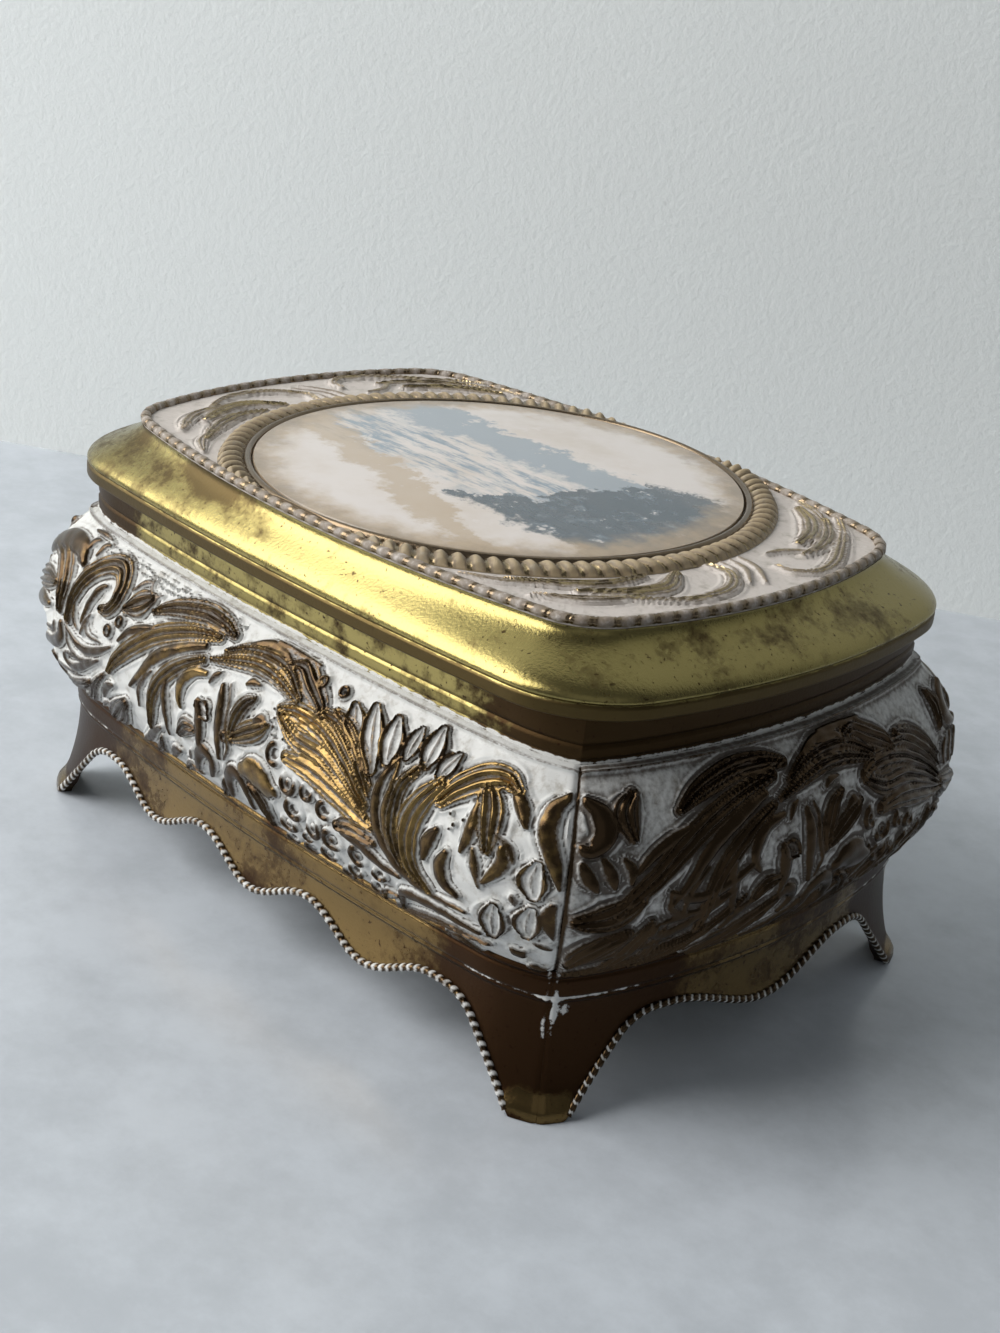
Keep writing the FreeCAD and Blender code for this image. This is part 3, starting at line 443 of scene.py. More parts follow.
LEFT_SCROLL = [
    ("leaf", 0.45, 3.0, [(-47.9, 17.4), (-47.4, 13.0), (-45.4, 8.6), (-41.6, 5.4), (-38.2, 4.7), (-35.9, 6.6),
                         (-35.4, 9.6), (-36.7, 11.8), (-38.8, 12.4)]),
    ("round", 0.3, 1.4, [(-43.3, 16.4), (-42.4, 12.6), (-40.9, 9.6), (-39.3, 8.6)]),
    ("round", 0.4, 1.2, [(-46.4, 14.6), (-45.8, 16.8), (-44.3, 17.9)]),
    ("round", 0.3, 1.1, [(-43.2, 18.3), (-42.3, 16.2), (-41.0, 14.2)]),
    ("round", 0.2, 0.9, [(-42.2, 15.8), (-40.9, 17.6), (-36.6, 17.5)]),
    ("round", 0.3, 0.6, [(-41.2, 15.3), (-40.0, 16.7), (-37.8, 16.9)]),
    ("round", 0.1, 1.3, [(-49.4, 5.2), (-49.1, 3.6), (-47.8, 3.0)]),
    ("round", 0.1, 1.2, [(-46.4, 5.4), (-45.9, 3.4), (-44.6, 2.8)]),
    ("round", 0.1, 1.0, [(-50.6, 1.9), (-48.0, 1.7), (-45.2, 1.9)]),
    ("round", 0.1, 1.0, [(-47.6, 8.4), (-46.9, 7.8), (-46.2, 7.9)]),
    ("round", 0.1, 0.9, [(-48.8, 11.8), (-48.1, 11.4)]),
    ("leaf", 0.3, 3.6, [(-27.2, 6.4), (-29.4, 8.0), (-32.2, 9.9)]),
    ("round", 0.2, 1.0, [(-32.8, 6.9), (-31.0, 4.7), (-29.2, 4.0)]),
    ("round", 0.2, 0.9, [(-29.3, 4.1), (-28.4, 5.4), (-26.8, 5.8), (-25.4, 5.0)]),
]
FAN = [
    ("leaf", 0.35, 2.7, [(-5.7, 4.5), (-9.0, 3.7), (-14.0, 3.6), (-19.0, 4.8), (-22.5, 6.2), (-25.0, 7.8)]),
    ("leaf", 0.7, 2.7, [(-8.3, 5.9), (-13.0, 6.9), (-18.0, 8.7), (-23.0, 11.3), (-28.0, 15.2), (-31.5, 18.5),
                        (-33.4, 21.0)]),
    ("round", 0.45, 1.8, [(-10.3, 8.2), (-14.0, 9.7), (-18.5, 12.2), (-21.5, 14.6), (-23.5, 17.3),
                          (-26.5, 20.8)]),
    ("leaf", 0.6, 2.4, [(-9.3, 10.0), (-13.5, 12.4), (-17.2, 15.5), (-19.6, 19.0), (-20.6, 23.0),
                        (-21.3, 26.2)]),
    ("round", 0.2, 1.1, [(-21.0, 16.4), (-23.0, 18.5), (-24.2, 21.0), (-24.0, 23.5)]),
    ("round", 0.7, 1.7, [(-7.6, 11.7), (-10.8, 12.6), (-12.8, 15.0), (-13.0, 17.2), (-12.1, 18.8)]),
    ("round", 0.3, 1.5, [(-16.6, 16.0), (-16.9, 18.5), (-16.3, 21.5), (-15.6, 25.0)]),
    ("round", 0.2, 1.4, [(-23.6, 10.1), (-27.0, 11.5), (-29.8, 13.2), (-31.6, 15.2)]),
]
LOWER_STEMS = [
    ("round", 0.15, 1.4, [(-47.7, 18.9), (-44.5, 20.4), (-41.0, 20.5), (-37.0, 19.0), (-33.4, 17.0)]),
    ("round", 0.15, 1.0, [(-47.8, 19.2), (-47.6, 21.2), (-45.8, 22.8), (-42.5, 22.8), (-39.0, 21.3)]),
    ("round", 0.15, 1.4, [(-49.2, 24.2), (-49.2, 25.5), (-47.4, 26.0), (-44.5, 24.9), (-40.5, 22.7),
                          (-37.0, 20.7)]),
    ("round", 0.15, 1.0, [(-48.9, 23.7), (-46.0, 23.3), (-42.0, 23.0)]),
    ("leaf", 0.2, 2.0, [(-59.4, 34.4), (-53.0, 32.4), (-46.0, 29.2), (-41.0, 26.2)]),
    ("round", 0.2, 1.1, [(-57.0, 30.4), (-51.5, 28.2), (-46.0, 26.8)]),
    ("leaf", 0.2, 1.8, [(-49.5, 34.2), (-44.0, 31.0), (-39.5, 26.2), (-35.0, 22.3)]),
    ("round", 0.2, 1.3, [(-37.4, 27.6), (-35.0, 24.7), (-32.4, 23.2)]),
    ("leaf", 0.25, 3.4, [(-39.4, 34.0), (-34.0, 29.8), (-28.6, 24.8)]),
    ("round", 0.2, 0.9, [(-41.4, 32.0), (-38.5, 29.6), (-36.4, 28.4)]),
    ("round", 0.2, 1.4, [(-29.4, 33.8), (-25.0, 30.6), (-21.2, 27.2), (-18.2, 25.0)]),
    ("leaf", 0.2, 1.8, [(-23.6, 32.6), (-20.6, 30.4), (-18.6, 27.0)]),
    ("round", 0.2, 1.5, [(-17.4, 30.6), (-15.4, 28.2), (-13.4, 27.4)]),
    ("leaf", 0.3, 1.8, [(-14.2, 31.6), (-11.0, 29.4), (-8.6, 29.6)]),
]
ARCHING_LEAF = [
    ("leaf", 0.5, 2.3, [(13.2, 7.8), (8.5, 5.0), (4.0, 4.3), (-1.0, 5.1), (-5.5, 7.2)]),
    ("leaf", 0.7, 2.3, [(12.8, 8.5), (7.0, 6.8), (2.0, 6.5), (-3.0, 7.7), (-7.7, 9.4)]),
    ("round", 0.3, 1.5, [(-1.3, 4.3), (2.0, 3.0), (6.0, 3.2), (8.2, 4.3)]),
    ("leaf", 0.3, 2.9, [(8.0, 4.1), (10.6, 3.5), (13.6, 5.2), (17.0, 7.1), (18.4, 8.6)]),
    ("round", 0.15, 1.2, [(3.2, 2.0), (8.0, 2.2), (13.2, 2.2)]),
    ("round", 0.2, 1.1, [(-6.4, 12.6), (-5.6, 11.2), (-4.6, 10.4)]),
    ("round", 0.3, 1.2, [(1.6, 9.9), (2.6, 9.2), (4.5, 9.0)]),
]
CENTRE = [
    ("round", 0.3, 1.8, [(-3.1, 12.0), (-2.4, 15.0), (-2.2, 19.0), (-1.7, 23.2)]),
    ("round", 0.4, 1.0, [(-1.6, 11.2), (-0.7, 13.6), (-0.4, 17.4), (0.5, 20.4), (-0.4, 23.0)]),
    ("leaf", 0.4, 2.3, [(1.0, 19.0), (1.5, 15.4), (2.7, 12.8), (4.6, 11.2)]),
    ("leaf", 0.6, 2.7, [(1.2, 18.6), (4.2, 16.7), (7.0, 15.0), (8.6, 13.8)]),
    ("round", 0.1, 1.5, [(5.8, 14.0), (7.2, 13.4), (8.4, 14.6)]),
    ("round", 0.8, 3.8, [(4.4, 22.6), (7.0, 21.9), (9.8, 23.0), (11.7, 23.2)]),
    ("round", 0.25, 2.0, [(-0.7, 29.8), (0.0, 26.0), (2.0, 24.2), (4.2, 26.0), (4.8, 29.8)]),
    ("leaf", 0.2, 2.6, [(5.8, 24.8), (7.8, 26.8), (9.0, 31.0)]),
    ("round", 0.2, 1.9, [(-9.2, 28.4), (-7.6, 25.2), (-5.8, 23.8), (-4.0, 25.2), (-5.2, 28.2)]),
    ("leaf", 0.15, 2.3, [(-12.4, 23.4), (-10.6, 21.5), (-7.6, 21.0)]),
    ("round", 0.15, 1.8, [(-7.2, 23.2), (-7.0, 20.6), (-7.4, 17.6), (-7.9, 16.0)]),
    ("rim", 0.2, 2.6, [(-7.6, 16.6), (-6.2, 17.2), (-5.2, 17.9)]),
    ("round", 0.2, 0.9, [(-10.7, 27.5), (-10.3, 25.8)]),
    ("leaf", 0.2, 2.2, [(-3.4, 31.4), (-2.0, 29.6), (-1.4, 27.4)]),
]
ACANTHUS = [
    ("leaf", 0.9, 3.3, [(14.0, 16.6), (19.0, 16.5), (25.0, 17.6), (30.0, 19.0), (33.2, 19.6)]),
    ("leaf", 0.8, 2.9, [(10.6, 11.2), (15.0, 13.3), (21.0, 13.8), (27.0, 16.1), (31.8, 18.6)]),
    ("leaf", 0.85, 2.8, [(10.3, 10.5), (14.0, 9.7), (20.0, 10.4), (26.0, 13.2), (31.4, 17.0)]),
    ("leaf", 0.6, 2.5, [(18.2, 8.0), (22.0, 8.4), (27.0, 11.4), (31.4, 15.3)]),
    ("leaf", 0.5, 2.2, [(20.6, 6.9), (24.5, 8.2), (28.5, 11.0), (31.6, 13.8)]),
    ("rim", 0.5, 3.2, [(26.0, 9.6), (24.6, 7.2), (23.2, 5.0)]),
    ("rim", 0.5, 3.3, [(30.8, 11.8), (28.4, 7.4), (26.7, 3.8)]),
    ("rim", 0.3, 3.6, [(32.8, 9.6), (32.2, 7.0), (31.4, 4.0)]),
    ("rim", 0.2, 2.4, [(35.8, 8.0), (35.9, 5.8), (36.0, 3.6)]),
    ("rim", 0.2, 3.3, [(39.4, 7.6), (39.4, 5.4), (39.2, 2.4)]),
    ("rim", 0.2, 2.6, [(42.4, 8.2), (43.0, 6.4), (43.9, 4.6)]),
]
CUP_LEAF = [
    ("round", 0.4, 1.6, [(34.8, 8.6), (33.1, 12.5), (33.3, 17.0), (35.3, 20.8), (39.0, 23.9), (44.0, 25.2),
                         (50.6, 25.2)]),
    ("round", 0.5, 1.3, [(35.1, 9.2), (35.2, 13.0), (35.0, 16.6), (36.4, 20.0), (39.4, 22.9)]),
    ("leaf", 0.6, 2.3, [(39.0, 8.2), (36.9, 11.6), (36.6, 15.2), (37.2, 19.0), (39.0, 22.0), (41.4, 24.0)]),
    ("leaf", 0.9, 3.3, [(43.4, 9.0), (41.3, 12.0), (39.9, 15.5), (39.8, 19.0), (41.2, 22.3), (44.8, 24.8)]),
    ("round", 0.4, 1.9, [(44.9, 15.2), (43.7, 17.4), (43.5, 19.9)]),
    ("round", 0.4, 2.0, [(47.2, 17.6), (46.5, 20.0), (47.5, 22.0), (49.6, 23.0)]),
    ("leaf", 0.8, 3.2, [(44.1, 11.2), (46.2, 8.4), (49.5, 5.6), (52.0, 4.8), (53.8, 5.8)]),
    ("leaf", 0.7, 2.6, [(50.2, 6.4), (51.4, 9.5), (52.4, 14.8)]),
    ("round", 0.5, 1.4, [(49.9, 9.4), (50.0, 13.0), (49.5, 16.4)]),
    ("round", 0.4, 1.5, [(53.4, 5.4), (54.7, 7.6), (55.6, 10.0)]),
    ("round", 0.4, 1.0, [(52.7, 12.0), (54.4, 13.3), (55.2, 15.1)]),
    ("round", 0.4, 1.1, [(50.9, 15.2), (51.4, 17.6), (52.2, 20.2)]),
    ("round", 0.5, 1.4, [(53.8, 13.6), (54.1, 16.0), (52.6, 19.2)]),
    ("round", 0.15, 1.7, [(52.0, 28.2), (46.0, 27.7), (41.0, 28.0), (38.4, 28.8), (37.8, 31.2)]),
    ("leaf", 0.2, 1.9, [(53.0, 30.0), (46.0, 30.8), (40.0, 32.6), (35.4, 34.4)]),
    ("leaf", 0.2, 2.2, [(45.0, 34.4), (48.0, 32.6), (51.0, 33.6)]),
    ("leaf", 0.4, 2.8, [(26.1, 22.5), (29.0, 21.9), (33.8, 21.9)]),
    ("round", 0.2, 1.6, [(27.0, 23.2), (31.0, 23.7), (35.0, 25.1), (38.8, 25.3)]),
    ("rim", 0.3, 3.0, [(33.4, 34.0), (35.6, 31.8), (37.0, 30.4)]),
]
CORNER_SCROLL = [
    ("round", 0.4, 1.8, [(-0.5, 4.4), (-1.9, 6.4), (-2.3, 9.6), (-1.4, 13.2), (-0.4, 17.0)]),
    ("round", 0.3, 1.4, [(-0.9, 19.4), (-1.2, 22.0), (-0.3, 25.2)]),
    ("round", 0.2, 1.2, [(-2.0, 26.4), (-0.6, 27.0)]),
    ("rim", 0.3, 2.4, [(-6.2, 27.2), (-6.2, 24.8), (-6.0, 22.0)]),
    ("rim", 0.3, 2.2, [(-2.8, 25.2), (-2.9, 23.2), (-2.6, 20.8)]),
    ("rim", 0.5, 2.3, [(-2.6, 18.8), (-2.9, 16.8), (-2.6, 14.2)]),
    ("round", 0.2, 1.0, [(-4.4, 19.6), (-4.1, 20.9)]),
    ("round", 0.2, 2.0, [(-4.0, 29.2), (-3.2, 30.0)]),
    ("round", 0.2, 2.2, [(-2.0, 32.4), (-1.6, 33.4)]),
]
END_CORNER = [
    ("round", 0.3, 2.0, [(0.6, 4.8), (2.2, 6.4), (2.9, 9.2), (1.6, 11.6), (0.4, 11.0)]),
    ("leaf", 0.3, 2.4, [(6.2, 4.4), (5.0, 7.0), (5.6, 10.6)]),
    ("round", 0.3, 1.2, [(0.8, 13.2), (1.5, 15.4), (2.2, 17.2)]),
    ("round", 0.3, 1.2, [(2.6, 12.8), (3.4, 15.0), (3.8, 17.0)]),
    ("round", 0.3, 1.2, [(4.6, 13.0), (5.4, 14.6), (5.4, 16.6)]),
    ("leaf", 0.3, 3.4, [(6.4, 19.2), (3.4, 21.4), (0.6, 21.6)]),
    ("leaf", 0.3, 3.0, [(5.6, 24.4), (3.0, 27.0), (0.6, 30.4)]),
    ("leaf", 0.3, 2.4, [(8.4, 23.2), (6.6, 28.0), (4.4, 32.4)]),
    ("leaf", 0.3, 2.0, [(10.8, 24.8), (9.6, 29.0), (9.0, 33.0)]),
]
RINGS = [(-32.6, 12.4, 0.8), (-35.1, 14.8, 0.85), (15.4, 4.1, 0.75), (19.9, 4.0, 0.75), (-0.4, 19.1, 0.7)]
DOTS = [(46.4, 12.2, 0.35), (47.4, 13.4, 0.45), (48.7, 12.2, 0.4), (46.9, 14.2, 0.3), (9.0, 11.0, 0.3),
        (9.7, 12.2, 0.35), (9.9, 13.5, 0.35), (10.1, 14.6, 0.3), (9.0, 12.8, 0.25), (12.6, 14.4, 0.3)]
PEBBLES = [
    (11.3, 17.2, 1.8, 2.1), (15.0, 20.4, 2.0, 2.1), (19.3, 20.0, 1.5, 1.7), (23.3, 21.3, 1.9, 1.7),
    (16.0, 24.5, 2.1, 2.0), (20.2, 25.8, 1.7, 2.2), (24.3, 26.0, 2.3, 2.0), (29.8, 26.2, 1.9, 2.0),
    (34.0, 27.6, 1.6, 1.2), (13.8, 28.3, 2.3, 1.4), (18.3, 28.6, 1.2, 1.0), (22.3, 30.0, 1.8, 1.5),
    (28.0, 30.3, 1.6, 1.5), (17.4, 31.8, 1.7, 1.4), (32.0, 31.6, 1.5, 1.3), (25.4, 32.6, 1.6, 1.2),
    (12.6, 32.4, 1.5, 1.2),
]


def curve_through(places, count):
    """Points spread over a Catmull-Rom curve that passes through given points."""
    points = np.asarray(places, dtype=float)
    ends = np.vstack([2.0 * points[0] - points[1], points, 2.0 * points[-1] - points[-2]])
    steps = np.linspace(0.0, len(points) - 1.0, count)
    span = np.minimum(steps.astype(int), len(points) - 2)
    t = (steps - span)[:, None]
    before, start, end, after = ends[span], ends[span + 1], ends[span + 2], ends[span + 3]
    bend = 2.0 * before - 5.0 * start + 4.0 * end - after
    twist = 3.0 * (start - end) + after - before
    return 0.5 * (2.0 * start + (end - before) * t + bend * t ** 2 + twist * t ** 3)


class Relief:
    """Ornament over a chart of two coordinates in millimetres: at each point the highest motif counts."""

    def __init__(self, along, down):
        self.along, self.down = along, down
        self.height = np.zeros(along.shape)
        self.tone = np.full(along.shape, 0.3)

    def near(self, low, high):
        """Which points of the chart lie in a rectangle."""
        in_along = (self.along > low[0]) & (self.along < high[0])
        return np.nonzero(in_along & (self.down > low[1]) & (self.down < high[1]))

    def raise_to(self, where, height, tone):
        """Keep the higher of what is there and a motif, with the tone of the higher."""
        is_higher = height > self.height[where]
        self.tone[where] = np.where(is_higher, tone, self.tone[where])
        self.height[where] = np.maximum(height, self.height[where])

    def stroke(self, section, tone, width, places, shift=0.0, mirror=1.0):
        """A swelling ridge along a smooth curve.

        The half width follows a sine from one end to the other. Across it the height is a half round, a leaf
        with veins along it, or a hollow petal with a raised rim. A low ridge follows outside it.
        """
        path = curve_through([(shift + mirror * along, down) for along, down in places], 8 * len(places))
        where = self.near(path.min(axis=0) - width, path.max(axis=0) + width)
        if not len(where[0]):
            return
        points = np.stack([self.along[where], self.down[where]], axis=-1)[:, None]
        start, step = path[:-1], np.diff(path, axis=0)
        share = np.clip(((points - start) * step).sum(axis=-1) / (step ** 2).sum(axis=-1), 0.0, 1.0)
        gap = points - start - share[..., None] * step
        square = (gap ** 2).sum(axis=-1)
        nearest = square.argmin(axis=1)
        row = np.arange(len(nearest))
        travelled = (nearest + share[row, nearest]) / len(step)
        swell = 0.35 + 0.65 * np.sin(np.pi * np.clip(travelled * 0.9 + 0.08, 0.0, 1.0))
        aside = np.sqrt(square[row, nearest]) / (0.5 * width * swell)
        dome = half_round(aside)
        if section == "leaf":
            veins = 0.58 * bell(aside, 0.0, 0.17) + 0.46 * bell(aside, 0.58, 0.13)
            dome = dome ** 0.8 * (1.0 - veins)
        if section == "rim":
            petal = 0.25 + 0.65 * bell(aside, 0.72, 0.2) + 0.3 * bell(aside, 0.0, 0.16)
            dome = petal * smooth_step(1.0, 0.85, aside)
        lift = min(1.0, 0.38 + 0.16 * width)
        echo = 0.22 * bell(aside, 1.38, 0.16)
        self.raise_to(where, np.maximum(lift * dome, echo), tone)

    def ring(self, along, down, radius, tone=0.2):
        """A small ring: a half round about a circle."""
        where = self.near((along - 2 * radius, down - 2 * radius), (along + 2 * radius, down + 2 * radius))
        away = np.hypot(self.along[where] - along, self.down[where] - down)
        self.raise_to(where, 0.8 * half_round((away - radius) / 0.42), tone)

    def dot(self, along, down, radius, tone=0.1):
        """A small dome."""
        where = self.near((along - radius, down - radius), (along + radius, down + radius))
        away = np.hypot(self.along[where] - along, self.down[where] - down) / radius
        self.raise_to(where, 0.75 * half_round(away), tone)

    def pebble(self, along, down, half_along, half_down, tone=0.15):
        """An oval with a raised rim that is open on one side, and a low boss inside it."""
        reach = (half_along * 1.3, half_down * 1.3)
        where = self.near((along - reach[0], down - reach[1]), (along + reach[0], down + reach[1]))
        x = (self.along[where] - along) / half_along
        y = (self.down[where] - down) / half_down
        away = np.hypot(x, y)
        opening = smooth_step(-0.2, 0.9, np.cos(np.arctan2(y, x) + 1.1 + 0.8 * np.sin(along)))
        rim = 0.85 * half_round((away - 0.72) / 0.32) * (1.0 - 0.75 * opening)
        boss = 0.65 * half_round(away / 0.36) * (scatter(along, down, 3.0) > 0.45)
        self.raise_to(where, np.maximum(rim, boss), tone)

    def stipple(self, low, high, pitch, tone=0.1):
        """Small dots on a jittered square lattice inside a rectangle."""
        where = self.near(low, high)
        cell_along, cell_down = np.floor(self.along[where] / pitch), np.floor(self.down[where] / pitch)
        centre_along = cell_along + 0.25 + 0.5 * scatter(cell_along, cell_down, 1.0)
        centre_down = cell_down + 0.25 + 0.5 * scatter(cell_along, cell_down, 2.0)
        away = np.hypot(self.along[where] / pitch - centre_along, self.down[where] / pitch - centre_down)
        self.raise_to(where, 0.6 * half_round(away / 0.27), tone)

    def strokes(self, motifs, shift=0.0, mirror=1.0, broad=1.0):
        """Every stroke of a group, moved along, mirrored or broadened."""
        for section, tone, width, places in motifs:
            self.stroke(section, tone, width * broad, places, shift, mirror)


def front_ornament(relief, seam):
    """Ornament of a long wall, from the left seam to the right one."""
    for group in (LEFT_LEAF, LEFT_SCROLL, FAN, LOWER_STEMS, ARCHING_LEAF, CENTRE, ACANTHUS, CUP_LEAF):
        relief.strokes(group, broad=LEAF_BROAD)
    relief.strokes(CORNER_SCROLL, shift=seam, broad=CORNER_BROAD)
    for along, down, radius in RINGS:
        relief.ring(along, down, radius)
    for along, down, radius in DOTS:
        relief.dot(along, down, radius)
    for pebble in PEBBLES:
        relief.pebble(*pebble)
    relief.stipple((-45.0, 1.7), (-5.0, 4.2), 1.1)


def end_ornament(relief, seam):
    """Ornament of an end: the middle of the same design between two corner motifs."""
    for group in (FAN, ARCHING_LEAF, CENTRE, ACANTHUS[:5]):
        relief.strokes(group, shift=-1.0, broad=LEAF_BROAD)
    relief.strokes(LOWER_STEMS, shift=20.0, broad=STEM_BROAD)
    relief.strokes(LOWER_STEMS[6:], shift=46.0, broad=STEM_BROAD)
    relief.strokes(END_CORNER, shift=-seam, broad=CORNER_BROAD)
    relief.strokes(END_CORNER, shift=seam, mirror=-1.0, broad=CORNER_BROAD)
    for along, down, half_along, half_down in PEBBLES:
        if along < 30.0:
            relief.pebble(along - 1.0, down, half_along, half_down)


# Materials


class Finish:
    """A node material under construction: adds nodes, links them and hands out their output sockets."""

    def __init__(self, name):
        self.material = bpy.data.materials.new(name)
        self.material.use_nodes = True
        self.tree = self.material.node_tree
        self.surface = self.tree.nodes["Principled BSDF"]
        self.places = self.tree.nodes.new("ShaderNodeTexCoord").outputs["Object"]

    def feed(self, socket, value):
        """Link an output socket, or set a plain value."""
        if isinstance(value, bpy.types.NodeSocket):
            self.tree.links.new(value, socket)
        else:
            socket.default_value = value

    def node(self, kind, inputs, **settings):
        """A node with its settings and its inputs by position or name."""
        node = self.tree.nodes.new(kind)
        for name, setting in settings.items():
            setattr(node, name, setting)
        for key, value in inputs.items():
            self.feed(node.inputs[key], value)
        return node

    def field(self, name):
        """A number stored on the mesh."""
        return self.node("ShaderNodeAttribute", {}, attribute_name=name).outputs["Fac"]

    def noise(self, size, detail=4.0, roughness=0.6, places=None):
        """Cloudy noise with features of about a size in millimetres."""
        inputs = {"Vector": places or self.places, "Scale": 1.0 / (size * MILLIMETRE), "Detail": detail,
                  "Roughness": roughness}
        return self.node("ShaderNodeTexNoise", inputs).outputs["Fac"]

    def stretched(self, scale):
        """Object places scaled along each axis, for streaks."""
        return self.node("ShaderNodeMapping", {"Vector": self.places, "Scale": scale}).outputs["Vector"]

    def ramp(self, value, low, high, start=0.0, end=1.0):
        """A smooth step from start to end as the value goes from low to high."""
        inputs = {"Value": value, "From Min": low, "From Max": high, "To Min": start, "To Max": end}
        return self.node("ShaderNodeMapRange", inputs, interpolation_type="SMOOTHSTEP").outputs["Result"]

    def sum(self, first, second, factor=1.0):
        """The first value plus the second times a factor."""
        inputs = {0: second, 1: factor, 2: first}
        return self.node("ShaderNodeMath", inputs, operation="MULTIPLY_ADD").outputs["Value"]

    def times(self, first, second):
        """The product of two values."""
        return self.node("ShaderNodeMath", {0: first, 1: second}, operation="MULTIPLY").outputs["Value"]

    def mix(self, factor, first, second):
        """The first colour where the factor is 0, the second where it is 1."""
        inputs = {"Factor": factor, 6: first, 7: second}
        return self.node("ShaderNodeMix", inputs, data_type="RGBA").outputs[2]

    def coordinate(self, axis):
        """One of the object's coordinates, in metres."""
        return self.node("ShaderNodeSeparateXYZ", {"Vector": self.places}).outputs[axis]

    def bump(self, height, distance, strength=0.5):
        """Fine unevenness, with its full height in millimetres."""
        inputs = {"Height": height, "Distance": distance * MILLIMETRE, "Strength": strength}
        self.feed(self.surface.inputs["Normal"], self.node("ShaderNodeBump", inputs).outputs["Normal"])

    def finish(self, **inputs):
        """Feed the surface by its input names, written with underscores, and hand over the material."""
        for name, value in inputs.items():
            self.feed(self.surface.inputs[name.replace("_", " ")], value)
        return self.material


def washed_gilt(name, wash, dirt, gilt, tarnish):
    """White paint in the hollows, rubbed brass on what stands up, and a dark line where they meet.

    The mesh's field raised is the height of the ornament, tone its brightness and hollow the grime with
    painted shade at its foot.
    """
    finish = Finish(name)
    raised = finish.field("raised")
    fine = finish.noise(0.5, 3.0)
    broad = finish.noise(4.0, 4.0)
    worn = finish.sum(finish.sum(raised, fine, 0.24), broad, 0.34)
    metal = finish.ramp(worn, 0.76, 0.92)
    edge = finish.ramp(worn, 0.62, 0.78)
    tone = finish.sum(finish.field("tone"), finish.noise(1.6, 4.0), 1.1)
    brass = finish.mix(finish.ramp(tone, 0.65, 1.5), paint(tarnish), paint(gilt))
    grime = finish.times(finish.ramp(finish.noise(2.4, 6.0, 0.7), 0.48, 0.74), 0.75)
    # The hollow field mixes tarnish into the paint: grime with painted shade beside the ornament
    grime_and_shade = finish.ramp(finish.sum(finish.field("hollow"), finish.noise(0.9, 4.0), 0.5), 0.48, 0.85)
    dirty_wash = finish.mix(grime, paint(wash), paint(dirt))
    wash_colour = finish.mix(finish.times(grime_and_shade, 0.9), dirty_wash, paint(tarnish))
    outlined = finish.mix(finish.times(edge, 0.75), wash_colour, paint(tarnish))
    finish.bump(finish.sum(finish.noise(0.7, 5.0), finish.noise(3.0), 0.6), 0.07)
    return finish.finish(
        Base_Color=finish.mix(metal, outlined, brass), Metallic=finish.times(metal, 0.92),
        Roughness=finish.ramp(metal, 0.0, 1.0, 0.62, 0.23))


def aged_brass(name, bright, dull, roughness, patch, share):
    """Plated brass with cloudy browning, dark specks and fine wipe marks.

    Where the mesh has them, its field stain_shade_and_shine darkens the brass with stains and painted shade,
    and below zero leaves a painted highlight of bright brass; its field wash leaves white paint.
    """
    finish = Finish(name)
    cloud = finish.sum(finish.noise(patch, 6.0, 0.65), finish.noise(1.4, 5.0, 0.7), 0.35)
    # Stain field: stains and painted shade darken; below zero, a painted highlight
    cloud = finish.sum(cloud, finish.field("stain_shade_and_shine"))
    browning_and_shade = finish.ramp(cloud, 0.95 - share * 0.5, 1.2 - share * 0.5)
    specks = finish.ramp(finish.noise(0.7, 2.0, 0.5), 0.65, 0.73)
    stained = finish.mix(finish.times(browning_and_shade, 0.93), paint(bright), paint(dull))
    left = finish.ramp(finish.sum(finish.field("wash"), finish.noise(2.2, 6.0, 0.7), 1.2), 1.0, 1.12)
    finish.bump(finish.sum(finish.noise(0.5, 4.0), finish.noise(5.0), 0.8), 0.1, 0.45)
    return finish.finish(
        Base_Color=finish.mix(left, finish.mix(specks, stained, paint(dull)), paint("white_wash")),
        Metallic=finish.sum(1.0, left, -1.0),
        Roughness=finish.sum(finish.ramp(browning_and_shade, 0.0, 1.0, roughness, roughness + 0.2), left, 0.25))


